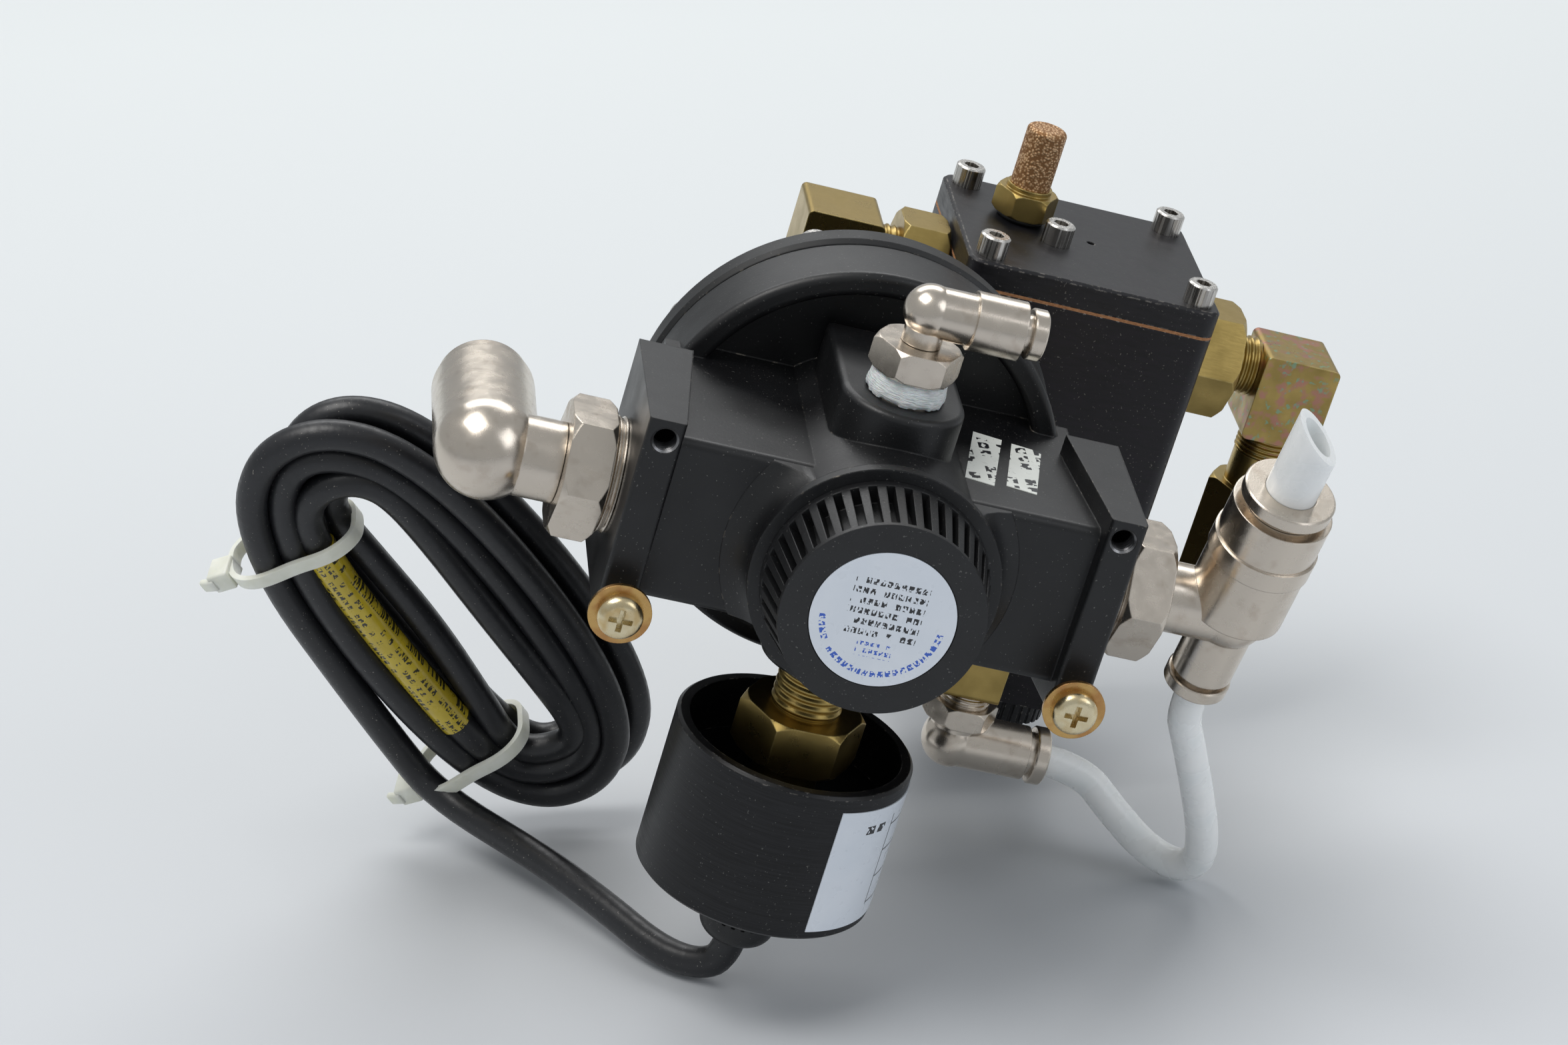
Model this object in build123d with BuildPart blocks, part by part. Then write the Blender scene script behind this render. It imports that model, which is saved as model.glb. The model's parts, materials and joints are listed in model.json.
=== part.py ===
"""Pilot operated air regulator with its electronic pilot controller, in millimetres.

The regulator is drawn upright about the crossing of its port axes: X is the flow axis
with the inlet at +X, Y runs from the fluted valve cap back to the pilot controller, and
Z is the axis of the two gauge ports. The finished pieces are then leaned over by one
placement, because the assembly lies on its cable bend, hose loop and connector.
"""
import os
from math import cos, pi, radians, sin, tan

from build123d import *

# How the assembly stands
lean = 16.0                  # lean towards the inlet side, degrees
stand_height = 93.0          # port axes above the surface it lies on
foot_x, foot_y = -14.3, -37.6    # footprint centre is the origin: place of the port axes

# Fits
thread_fit = 0.05            # radial play drawn between male and female threads
slide_fit = 0.08             # radial play of a piece that slides or turns
seat_gap = 0.3               # play between a soft or curved piece and its seat

# Regulator body
port_face = 45.0             # port axis crossing to each flange face
flange_front = 6.6           # flange thickness at its front edge
flange_back = 10.0           # and at its back edge, cast with draft
flange_half_depth = 17.0
flange_half_height = 19.4
bar_front, bar_half_height = 14.0, 15.5
hub_radius = 21.0
hub_front = 22.6             # crossing to the ring that the cap seats on
ring_radius, ring_width = 22.2, 2.2
boss_radius, boss_height = 11.3, 27.0
disc_radius, disc_front, disc_back = 39.0, 24.0, 38.0
window_radius, window_depth = 34.5, 5.8
port_radius, port_depth = 10.2, 15.0
flow_radius = 9.0
gauge_port_radius, gauge_port_depth = 6.6, 12.0
flange_hole_radius = 2.4
outlet_hole_depth, inlet_hole_depth = 12.0, 11.0
flange_hole_x, flange_hole_z = 41.4, 15.7
rim_round, bar_round, boss_round, flange_round = 1.4, 1.6, 1.2, 0.8
passage_overlap = 2.0        # how far the flow passages break into the valve chamber
cross_radius, cross_start = 4.5, 6.0     # cross passage over the web
balance_radius = 1.5         # holes from the upper chamber to the outlet
bonnet_thread_depth = 6.5

# Valve and diaphragm
cap_bore = 16.4
cap_bore_end = 8.0           # crossing to the inner end of the cap thread
valve_chamber = 13.0
seat_face, web_back = 3.0, 11.0
seat_outer, seat_hole = 9.5, 7.0
upper_chamber = 17.0
bowl_radius, bowl_floor = 30.0, 31.8
valve_travel = 3.0
valve_head, valve_thickness = 10.5, 4.0
tail_radius, tail_length = 4.5, 13.0
stem_radius = 2.5
valve_rest_gap = 0.1
plate_radius, plate_thickness, plate_gap = 19.0, 2.4, 0.4
plate_hub, plate_hub_front, plate_nut = 6.0, 6.0, 1.5
diaphragm_thickness = 1.2
spring_radius, spring_wire, spring_pitch = 7.2, 1.6, 4.2
cap_front, cap_root, cap_tip = 35.7, 20.0, 18.0
flute_count, flute_width, flute_depth = 40, 1.5, 1.4
flute_start, flute_rim = 1.6, 0.8      # plain bands behind and in front of the flutes
cap_step, cap_hollow = 1.2, 10.0
seal_groove_back, seal_groove_width, seal_groove_depth, seal_wire = 4.0, 2.2, 1.8, 0.85
label_radius, label_thickness = 12.7, 0.4

# Bonnet behind the diaphragm
bonnet_radius, bonnet_rim = 39.5, 5.0
bonnet_shell, bonnet_wall, bonnet_depth = 31.0, 3.5, 13.0
bonnet_screw_circle, bonnet_screw_count = 35.2, 8
bonnet_screw_radius, bonnet_head_radius, bonnet_head = 2.0, 3.4, 3.5
bonnet_round, bonnet_edge = 5.0, 0.8
pilot_boss, pilot_boss_end, pilot_port = 8.5, 3.0, 5.0
bonnet_socket, bonnet_socket_depth = 1.5, 1.8
pilot_x = -2.0               # pilot pipework stands this far off the cap axis

# Port fittings
hex_start, hex_end, hex_flats = 47.5, 55.5, 22.2
neck_radius = 6.5
stem_bore, neck_bore = 5.0, 3.6
tee_x, tee_tilt = 70.0, 17.0
tee_barrel, tee_barrel_end = 9.3, 26.0
tee_branch, tee_branch_end, tee_ball = 5.8, 15.0, 7.2
tee_band, tee_band_back, tee_band_front = 0.4, 12.0, 8.0
mouth_wall, mouth_depth = 2.2, 4.0     # round the collet of a 3/8 inch mouth
branch_wall, branch_mouth = 1.4, 3.0
tee_cross = 2.4
supply_tube, supply_wall = 4.76, 1.5
pilot_tube, pilot_wall = 3.18, 0.9
stub_start, stub_end, stub_slant = 12.0, 47.0, 40.0
collet_travel, collet_proud = 1.0, 3.6
collet_step, collet_lip = 0.8, 0.3     # head under a 3/8 inch mouth, over a 1/4 inch one
outlet_x, outlet_radius, outlet_arm, outlet_end = 68.5, 9.3, 7.3, 24.0
gauge_hex, gauge_hex_start, gauge_hex_end = 14.3, 31.5, 37.0
gauge_arm_z, gauge_arm, gauge_arm_end = 43.2, 4.6, 16.5
gauge_tube = 2.0
tape_thickness = 0.5

# Pressure transducer
nipple_radius, nipple_top = 6.2, 17.0
nut_flats, nut_top, nut_bottom = 20.6, 36.5, 46.0
housing_radius, housing_top, housing_bottom = 22.3, 42.5, 72.6
cup_radius, cup_depth = 20.0, 10.5
gland_radius, gland_base, gland_ribs, gland_end = 7.2, 74.6, 81.0, 86.0
gland_flutes, gland_flute_radius, gland_round, gland_mouth = 24, 0.35, 3.6, 3.0
nipple_bore = 2.5
housing_edge, housing_wall = 0.6, 3.0
plate_label_thickness, plate_label_margin, plate_label_angle = 0.2, 3.0, 70
cable_diameter = 6.0

# Pilot controller
box_x, box_y = 45.2, 88.0
box_width, box_depth, box_corner = 50.8, 46.0, 3.0
cover_top, cover_thickness, gasket_thickness = 31.1, 5.2, 0.6
box_bottom, box_wall = -59.0, 4.0
cover_screw_inset = 4.4
cover_head_radius, cover_head, cover_screw_radius = 2.95, 4.2, 1.6
extra_screw = (39.6, 84.6)
silencer_x, silencer_y = 33.6, 94.0
silencer_flats, silencer_hex, silencer_radius, silencer_top = 11.1, 5.0, 4.0, 50.4
left_port_z, right_port_z = 19.6, 14.0
left_flats, right_flats = 17.5, 20.6
left_block, right_block = 15.4, 15.4
left_thread_end = 5.4
right_block_x = 94.8
filter_radius, filter_flats, filter_end = 5.6, 15.0, -40.0
connector_x, connector_y = 58.5, 86.0
connector_radius, connector_ring_end, plug_radius = 9.5, -69.0, 6.5
feed_x, feed_y, feed_z, feed_block = 39.4, 42.0, -41.0, 11.0
feed_ball_z, feed_arm, feed_arm_end = -57.6, 5.3, 15.0
feed_hex_flats = 12.7


# Planes and small shapes that many pieces use
tip_up = Location((foot_x, foot_y, stand_height), (0, lean, 0))
toward_front = Plane.XZ      # its normal points to the cap side, -Y
toward_back = Plane(origin=(0, 0, 0), x_dir=(1, 0, 0), z_dir=(0, 1, 0))
toward_inlet = Plane.YZ
toward_outlet = Plane(origin=(0, 0, 0), x_dir=(0, -1, 0), z_dir=(-1, 0, 0))
toward_bottom = Plane(origin=(0, 0, 0), x_dir=(1, 0, 0), z_dir=(0, 0, -1))


def axis_plane(direction, x, y, z):
    """A plane whose normal is one of the five directions, through a point."""
    return Plane(origin=(x, y, z), x_dir=direction.x_dir, z_dir=direction.z_dir)


def rod(plane, radius, start, end, mode=Mode.ADD):
    """A round step along a plane's normal."""
    with BuildSketch(plane.offset(start)) as step:
        Circle(radius)
    extrude(step.sketch, amount=end - start, mode=mode)


def hex_solid(plane, flats, start, end):
    """A hexagon with its corners turned off at both ends, made outside any builder."""
    corner = flats / 2 / cos(pi / 6)
    turned_off = 0.75 * (corner - flats / 2)
    blank = extrude(plane.offset(start) * RegularPolygon(flats / 2, 6, major_radius=False), end - start)
    round_blank = plane.offset((start + end) / 2) * Cylinder(corner, end - start)
    return blank & chamfer(round_blank.edges().filter_by(GeomType.CIRCLE), turned_off)


def finish(piece, label):
    """Leans the finished piece over, names it and writes it."""
    piece.part = tip_up * piece.part
    piece.part.label = label
    export_step(piece.part, f"parts/{label}.step")


os.makedirs("parts", exist_ok=True)

# ---- Regulator body: one casting with bar, flanges, hub, bosses and diaphragm disc
with BuildPart() as body:
    rod(toward_back, disc_radius, disc_front, disc_back)
    rod(toward_back, window_radius, disc_front, disc_front + window_depth, Mode.SUBTRACT)
    fillet(body.edges().filter_by(GeomType.CIRCLE).group_by(Axis.Y)[0], rim_round)
    with BuildSketch(Plane.XY.offset(-bar_half_height)):
        with Locations((0, (disc_front + window_depth - bar_front) / 2)):
            Rectangle(2 * port_face - 2 * flange_front, disc_front + window_depth + bar_front)
    extrude(amount=2 * bar_half_height)
    for side in (-1, 1):
        with BuildSketch(Plane.XY.offset(-flange_half_height)):
            with BuildLine():
                Polyline(
                    (side * port_face, -flange_half_depth),
                    (side * (port_face - flange_front), -flange_half_depth),
                    (side * (port_face - flange_back), flange_half_depth),
                    (side * port_face, flange_half_depth),
                    close=True,
                )
            make_face()
        extrude(amount=2 * flange_half_height)
    rod(toward_front, hub_radius, -disc_back + 1, hub_front)
    rod(toward_front, ring_radius, hub_front - ring_width, hub_front)
    for way, back in ((Plane.XY, 1), (toward_bottom, -1)):
        with BuildSketch(way):
            Circle(boss_radius)
            with Locations((0, back * (disc_front + 2) / 2)):
                Rectangle(2 * boss_radius, disc_front + 2)
        extrude(amount=boss_height)
    fillet(body.edges().filter_by(Axis.X).filter_by_position(Axis.Y, -bar_front - 1, -bar_front + 1), bar_round)
    for height in (-boss_height, boss_height):
        rim = body.edges().filter_by_position(Axis.Z, height - 0.1, height + 0.1)
        fillet(rim.filter_by_position(Axis.Y, -boss_radius - 1, disc_front - 3), boss_round)
    flange_edges = body.edges().filter_by(Axis.Z)
    fillet(flange_edges.filter_by_position(Axis.Y, -flange_half_depth - 0.1, -flange_half_depth + 0.1), flange_round)
    # Passages: two ports, valve chamber, web, upper chamber and diaphragm bowl
    rod(toward_front, cap_bore, cap_bore_end, hub_front, Mode.SUBTRACT)
    rod(toward_front, valve_chamber, -seat_face, cap_bore_end, Mode.SUBTRACT)
    rod(toward_back, seat_outer, seat_face, web_back, Mode.SUBTRACT)
    rod(toward_back, upper_chamber, web_back, bowl_floor, Mode.SUBTRACT)
    rod(toward_back, bowl_radius, bowl_floor, disc_back, Mode.SUBTRACT)
    rod(toward_inlet, port_radius, port_face - port_depth, port_face, Mode.SUBTRACT)
    rod(toward_inlet, flow_radius, valve_chamber - passage_overlap, port_face, Mode.SUBTRACT)
    rod(toward_outlet, port_radius, port_face - port_depth, port_face, Mode.SUBTRACT)
    rod(toward_outlet, flow_radius, valve_chamber + passage_overlap, port_face, Mode.SUBTRACT)
    cross = axis_plane(toward_back, -valve_chamber - cross_start, 0, 0)
    rod(cross, cross_radius, 0, web_back + 8, Mode.SUBTRACT)
    for way in (Plane.XY, toward_bottom):
        rod(way, gauge_port_radius, boss_height - gauge_port_depth, boss_height, Mode.SUBTRACT)
    for z in (-upper_chamber + 1, upper_chamber - 1):
        rod(axis_plane(toward_back, 0, 0, z), balance_radius, 0, web_back + 2, Mode.SUBTRACT)
    for x, depth in ((-flange_hole_x, outlet_hole_depth), (flange_hole_x, inlet_hole_depth)):
        with BuildSketch(toward_front.offset(flange_half_depth)):
            with Locations((x, -flange_hole_z), (x, flange_hole_z)):
                Circle(flange_hole_radius)
        extrude(amount=-depth, mode=Mode.SUBTRACT)
    with BuildSketch(toward_back.offset(disc_back)):
        with PolarLocations(bonnet_screw_circle, bonnet_screw_count, start_angle=22.5):
            Circle(bonnet_screw_radius)
    extrude(amount=-bonnet_thread_depth, mode=Mode.SUBTRACT)
finish(body, "regulator_body")

# ---- Diaphragm: the clamped outer ring of moulded rubber with its rolled fold
with BuildPart() as diaphragm:
    rod(toward_back, bonnet_radius - 1, disc_back, disc_back + diaphragm_thickness)
    rod(toward_back, plate_radius + 1, disc_back, disc_back + diaphragm_thickness, Mode.SUBTRACT)
    with BuildSketch(toward_back.offset(disc_back)):
        with PolarLocations(bonnet_screw_circle, bonnet_screw_count, start_angle=22.5):
            Circle(bonnet_screw_radius + seat_gap)
    extrude(amount=diaphragm_thickness, mode=Mode.SUBTRACT)
finish(diaphragm, "diaphragm")

# ---- Diaphragm plates: both discs, their hub and the push stem
plate_front = disc_back - plate_gap
plate_back = disc_back + diaphragm_thickness + plate_gap
with BuildPart() as plates:
    rod(toward_back, plate_radius, plate_front - plate_thickness, plate_front)
    rod(toward_back, plate_radius, plate_back, plate_back + plate_thickness)
    rod(toward_back, plate_hub, plate_front - plate_hub_front, plate_back + plate_thickness + plate_nut)
finish(plates, "diaphragm_plates")

# ---- Bonnet with the pilot chamber and its port
bonnet_face = disc_back + diaphragm_thickness
bonnet_crown = bonnet_face + bonnet_depth
with BuildPart() as bonnet:
    rod(toward_back, bonnet_radius, bonnet_face, bonnet_face + bonnet_rim)
    rod(toward_back, bonnet_shell, bonnet_face, bonnet_crown)
    fillet(bonnet.edges().group_by(Axis.Y)[-1], bonnet_round)
    pilot_line = axis_plane(toward_back, pilot_x, 0, 0)
    rod(pilot_line, pilot_boss, bonnet_crown - bonnet_round, bonnet_crown + pilot_boss_end)
    rod(toward_back, bonnet_shell - bonnet_wall, bonnet_face, bonnet_crown - bonnet_wall, Mode.SUBTRACT)
    rod(pilot_line, pilot_port, bonnet_face, bonnet_crown + pilot_boss_end, Mode.SUBTRACT)
    with BuildSketch(toward_back.offset(bonnet_face)):
        with PolarLocations(bonnet_screw_circle, bonnet_screw_count, start_angle=22.5):
            Circle(bonnet_screw_radius + seat_gap)
    extrude(amount=bonnet_rim, mode=Mode.SUBTRACT)
    chamfer(bonnet.edges().filter_by(GeomType.CIRCLE).group_by(Axis.Y)[0].sort_by(SortBy.LENGTH)[-1], bonnet_edge)
finish(bonnet, "bonnet")

with BuildPart() as bonnet_screws:
    with BuildSketch(toward_back.offset(bonnet_face + bonnet_rim)):
        with PolarLocations(bonnet_screw_circle, bonnet_screw_count, start_angle=22.5):
            Circle(bonnet_head_radius)
    extrude(amount=bonnet_head)
    with BuildSketch(toward_back.offset(disc_back - 6)):
        with PolarLocations(bonnet_screw_circle, bonnet_screw_count, start_angle=22.5):
            Circle(bonnet_screw_radius - thread_fit)
    extrude(amount=6 + diaphragm_thickness + bonnet_rim)
    with BuildSketch(toward_back.offset(bonnet_face + bonnet_rim + bonnet_head)):
        with PolarLocations(bonnet_screw_circle, bonnet_screw_count, start_angle=22.5):
            RegularPolygon(bonnet_socket, 6)
    extrude(amount=-bonnet_socket_depth, mode=Mode.SUBTRACT)
finish(bonnet_screws, "bonnet_screws")

# ---- Valve seat, main valve with its tail and stem, and the return spring
with BuildPart() as seat:
    rod(toward_back, seat_outer - thread_fit, seat_face, web_back)
    rod(toward_back, seat_hole, seat_face, web_back, Mode.SUBTRACT)
finish(seat, "valve_seat")

valve_face = seat_face - valve_rest_gap
with BuildPart() as valve:
    rod(toward_front, valve_head, -valve_face, valve_thickness - valve_face)
    rod(toward_front, tail_radius, -valve_face, valve_thickness - valve_face + tail_length)
    rod(toward_back, stem_radius, 0, plate_front - plate_hub_front - thread_fit)
    fillet(valve.edges().filter_by(GeomType.CIRCLE).group_by(Axis.Y)[0], 0.5)
finish(valve, "main_valve")

spring_seat = valve_thickness - valve_face
spring_free = 18.0
with BuildPart() as spring:
    with BuildLine() as coil_line:
        Helix(
            pitch=spring_pitch, height=spring_free, radius=spring_radius,
            center=(0, -spring_seat - spring_wire / 2 - 0.05, 0), direction=(0, -1, 0),
        )
    with BuildSketch(Plane(coil_line.line @ 0, z_dir=coil_line.line % 0)):
        Circle(spring_wire / 2)
    sweep(is_frenet=True)
finish(spring, "valve_spring")

# ---- Fluted valve cap, its ring seal and label
with BuildPart() as cap:
    rod(toward_front, cap_bore - thread_fit, cap_bore_end, hub_front)
    with BuildSketch(Plane.XY):
        with BuildLine():
            Polyline(
                (0, -hub_front), (cap_root, -hub_front), (cap_root, -hub_front - cap_step),
                (cap_tip, -cap_front), (0, -cap_front), close=True,
            )
        make_face()
    revolve(axis=Axis.Y)
    with BuildSketch(toward_front.offset(hub_front + flute_start)):
        with PolarLocations(cap_root, flute_count):
            Rectangle(2 * (cap_root - cap_tip + flute_depth), flute_width)
    extrude(amount=cap_front - hub_front - flute_start - flute_rim, mode=Mode.SUBTRACT)
    rod(toward_front, label_radius + 0.2, cap_front - label_thickness, cap_front, Mode.SUBTRACT)
    rod(toward_front, cap_hollow, cap_bore_end, hub_front + 3, Mode.SUBTRACT)
    with BuildSketch(toward_front.offset(hub_front - seal_groove_back)):
        Circle(cap_bore)
        Circle(cap_bore - seal_groove_depth, mode=Mode.SUBTRACT)
    extrude(amount=seal_groove_width, mode=Mode.SUBTRACT)
finish(cap, "valve_cap")

with BuildPart() as cap_seal:
    with BuildSketch(Plane.XY):
        with Locations((cap_bore - seal_groove_depth / 2, -hub_front + seal_groove_back - seal_groove_width / 2)):
            Circle(seal_wire)
    revolve(axis=Axis.Y)
finish(cap_seal, "cap_seal_ring")

with BuildPart() as cap_label:
    rod(toward_front, label_radius, cap_front - label_thickness, cap_front)
finish(cap_label, "cap_label")

# ---- Two cross-head screws with washers, run part way into the lower flange holes
washer_radius, washer_thickness, washer_back = 5.6, 0.9, 21.3
screw_head_radius, screw_head, screw_head_round = 4.1, 2.6, 1.7
screw_engaged = 7.0
cross_length, cross_width, cross_depth = 4.2, 1.0, 1.7
with BuildPart() as washers:
    with BuildSketch(toward_front.offset(washer_back)):
        with Locations((-flange_hole_x, -flange_hole_z), (flange_hole_x, -flange_hole_z)):
            Circle(washer_radius)
            Circle(flange_hole_radius + 0.1, mode=Mode.SUBTRACT)
    extrude(amount=washer_thickness)
finish(washers, "flange_washers")

with BuildPart() as flange_screws:
    for x in (-flange_hole_x, flange_hole_x):
        stem = axis_plane(toward_front, x, 0, -flange_hole_z)
        rod(stem, flange_hole_radius - thread_fit, flange_half_depth - screw_engaged, washer_back + washer_thickness)
        rod(stem, screw_head_radius, washer_back + washer_thickness, washer_back + washer_thickness + screw_head)
    fillet(flange_screws.edges().filter_by(GeomType.CIRCLE).group_by(Axis.Y)[0], screw_head_round)
    for x in (-flange_hole_x, flange_hole_x):
        with BuildSketch(toward_front.offset(washer_back + washer_thickness + screw_head)):
            with Locations((x, -flange_hole_z)):
                Rectangle(cross_length, cross_width)
                Rectangle(cross_width, cross_length)
        extrude(amount=-cross_depth, mode=Mode.SUBTRACT)
finish(flange_screws, "flange_screws")


# ---- Push-in fittings: threaded hexagon stems, bodies and release collets
def port_stem(direction, label):
    """Male stem with hexagon, neck and through bore, screwed into one main port."""
    nut = hex_solid(direction, hex_flats, hex_start, hex_end)
    with BuildPart() as stem_part:
        add(nut)
        rod(direction, port_radius - thread_fit, port_face - port_depth + 1, hex_start)
        rod(direction, stem_bore, port_face - port_depth, hex_end, Mode.SUBTRACT)
    finish(stem_part, label)


port_stem(toward_inlet, "inlet_stem")
port_stem(toward_outlet, "outlet_stem")

tee_up = Plane(
    origin=(tee_x, 0, 0), x_dir=(1, 0, 0),
    z_dir=(0, -sin(radians(tee_tilt)), cos(radians(tee_tilt))),
)
with BuildPart() as tee:
    rod(toward_inlet, neck_radius, hex_end, tee_x)
    rod(tee_up, tee_barrel, 1.5, tee_barrel_end)
    rod(tee_up, tee_branch, -tee_branch_end, 3)
    with Locations((tee_x, 0, 0)):
        Sphere(tee_ball)
    rod(tee_up, tee_barrel + tee_band, tee_barrel_end - tee_band_back, tee_barrel_end - tee_band_front)
    rod(tee_up, supply_tube + slide_fit, stub_start, tee_barrel_end, Mode.SUBTRACT)
    rod(tee_up, tee_barrel - mouth_wall, tee_barrel_end - mouth_depth, tee_barrel_end, Mode.SUBTRACT)
    rod(tee_up, pilot_tube + slide_fit, -tee_branch_end, -6, Mode.SUBTRACT)
    rod(tee_up, tee_branch - branch_wall, -tee_branch_end, -tee_branch_end + branch_mouth, Mode.SUBTRACT)
    rod(tee_up, tee_cross, -8, stub_start + 1, Mode.SUBTRACT)
    rod(toward_inlet, neck_bore, hex_end, tee_x, Mode.SUBTRACT)
finish(tee, "inlet_tee")


def collet(plane, tube, sleeve, head, face, label):
    """Release collet: sleeve in the fitting's mouth, head just outside it."""
    gap = collet_travel + 0.3
    with BuildPart() as ring:
        rod(plane, sleeve, face - 1.6, face + gap)
        rod(plane, head, face + gap, face + collet_proud + 0.4)
        rod(plane, tube + slide_fit, face - 1.6, face + collet_proud + 0.4, Mode.SUBTRACT)
        chamfer(ring.edges().filter_by(GeomType.CIRCLE).sort_by(SortBy.LENGTH)[-2:], 0.3)
    finish(ring, label)


tee_down = Plane(
    origin=(tee_x, 0, 0), x_dir=(1, 0, 0),
    z_dir=(0, sin(radians(tee_tilt)), -cos(radians(tee_tilt))),
)
collet(tee_up, supply_tube, tee_barrel - mouth_wall - 0.1, tee_barrel - collet_step, tee_barrel_end, "supply_collet")
collet(tee_down, pilot_tube, tee_branch - branch_wall - 0.1, tee_branch + collet_lip, tee_branch_end, "tee_branch_collet")

with BuildPart() as stub:
    rod(tee_up, supply_tube, stub_start + 0.2, stub_end)
    rod(tee_up, supply_tube - supply_wall, stub_start + 0.2, stub_end, Mode.SUBTRACT)
    slant = tee_up.offset(stub_end - supply_tube * tan(radians(stub_slant)))
    split(bisect_by=slant.rotated((0, stub_slant, 0)), keep=Keep.BOTTOM)
finish(stub, "supply_tube_stub")

elbow_back = axis_plane(toward_back, -outlet_x, 0, 0)
with BuildPart() as outlet_elbow:
    rod(toward_outlet, outlet_arm, hex_end + 0.1, outlet_x)
    with Locations((-outlet_x, 0, 0)):
        Sphere(outlet_radius)
    rod(elbow_back, outlet_radius, 0, outlet_end)
    rod(toward_outlet, stem_bore - 0.2, hex_end, outlet_x, Mode.SUBTRACT)
    rod(elbow_back, supply_tube + slide_fit, 0, outlet_end, Mode.SUBTRACT)
    rod(elbow_back, outlet_radius - mouth_wall, outlet_end - mouth_depth, outlet_end, Mode.SUBTRACT)
finish(outlet_elbow, "outlet_elbow")
collet(elbow_back, supply_tube, outlet_radius - mouth_wall - 0.1, outlet_radius - collet_step, outlet_end, "outlet_collet")

# ---- Gauge port: hexagon bushing on sealing tape, swivelling push-in elbow
gauge_nut = hex_solid(Plane.XY, gauge_hex, gauge_hex_start, gauge_hex_end)
with BuildPart() as gauge_stem:
    add(gauge_nut)
    rod(Plane.XY, gauge_port_radius - thread_fit, boss_height - gauge_port_depth + 1, gauge_hex_start)
    rod(Plane.XY, 3.0, boss_height - gauge_port_depth, gauge_hex_end, Mode.SUBTRACT)
finish(gauge_stem, "gauge_stem")

with BuildPart() as tape:
    rod(Plane.XY, gauge_port_radius + tape_thickness, boss_height + 0.1, gauge_hex_start - 0.1)
    rod(Plane.XY, gauge_port_radius - thread_fit, boss_height, gauge_hex_start, Mode.SUBTRACT)
finish(tape, "sealing_tape")

gauge_out = axis_plane(toward_inlet, 0, 0, gauge_arm_z)
with BuildPart() as gauge_elbow:
    rod(Plane.XY, gauge_arm - 1.0, gauge_hex_end + 0.1, gauge_arm_z)
    rod(Plane.XY, 3.0 - slide_fit, gauge_hex_end - 4, gauge_arm_z)
    with Locations((0, 0, gauge_arm_z)):
        Sphere(gauge_arm + 0.2)
    rod(gauge_out, gauge_arm, 0, gauge_arm_end)
    rod(gauge_out, gauge_arm + 0.7, 7.5, gauge_arm_end)
    rod(gauge_out, gauge_tube + slide_fit, 0, gauge_arm_end, Mode.SUBTRACT)
    rod(gauge_out, gauge_arm - 1.2, gauge_arm_end - 3, gauge_arm_end, Mode.SUBTRACT)
    rod(Plane.XY, 1.6, gauge_hex_end - 4, gauge_arm_z, Mode.SUBTRACT)
finish(gauge_elbow, "gauge_elbow")
collet(gauge_out, gauge_tube, gauge_arm - 1.3, gauge_arm, gauge_arm_end, "gauge_collet")

# ---- Pressure transducer on a brass nipple under the lower boss
transducer_nut_solid = hex_solid(toward_bottom, nut_flats, nut_top, nut_bottom)
with BuildPart() as nipple:
    rod(toward_bottom, nipple_radius, nipple_top, housing_top + cup_depth)
    rod(toward_bottom, nipple_bore, nipple_top, housing_top + cup_depth, Mode.SUBTRACT)
finish(nipple, "transducer_nipple")

with BuildPart() as nut:
    add(transducer_nut_solid)
    rod(toward_bottom, nipple_radius + thread_fit, nut_top, nut_bottom, Mode.SUBTRACT)
finish(nut, "transducer_nut")

cup_floor = housing_top + cup_depth
capsule_radius, capsule_stem, capsule_end = 9.0, 4.0, cup_floor + 8.0
sensor_board_radius, board_thickness = 15.0, 1.6
with BuildPart() as housing:
    rod(toward_bottom, housing_radius, housing_top, housing_bottom)
    chamfer(housing.edges().filter_by(GeomType.CIRCLE), housing_edge)
    rod(toward_bottom, cup_radius, housing_top, cup_floor, Mode.SUBTRACT)
    rod(toward_bottom, cup_radius - 1.5, cup_floor + housing_wall, housing_bottom - housing_wall, Mode.SUBTRACT)
    rod(toward_bottom, capsule_stem, cup_floor, cup_floor + housing_wall, Mode.SUBTRACT)
    rod(toward_bottom, cable_diameter / 2 + seat_gap, housing_bottom - housing_wall, housing_bottom, Mode.SUBTRACT)
finish(housing, "transducer_housing")

with BuildPart() as capsule:
    rod(toward_bottom, capsule_radius, cup_floor + housing_wall, capsule_end)
    rod(toward_bottom, capsule_stem - thread_fit, cup_floor, cup_floor + housing_wall)
finish(capsule, "sensor_capsule")

with BuildPart() as sensor_board:
    rod(toward_bottom, sensor_board_radius, capsule_end, capsule_end + board_thickness)
finish(sensor_board, "sensor_board")

with BuildPart() as transducer_label:
    plate_label_outer = housing_radius + plate_label_thickness
    with BuildSketch(toward_bottom.offset(housing_top + plate_label_margin)):
        with BuildLine():
            CenterArc((0, 0), plate_label_outer, 0, plate_label_angle)
            CenterArc((0, 0), housing_radius, 0, plate_label_angle)
            Line((housing_radius, 0), (plate_label_outer, 0))
            Line(
                Vector(housing_radius, 0).rotate(Axis.Z, plate_label_angle),
                Vector(plate_label_outer, 0).rotate(Axis.Z, plate_label_angle),
            )
        make_face()
    extrude(amount=housing_bottom - housing_top - 2 * plate_label_margin + 1)
finish(transducer_label, "transducer_label")

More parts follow.
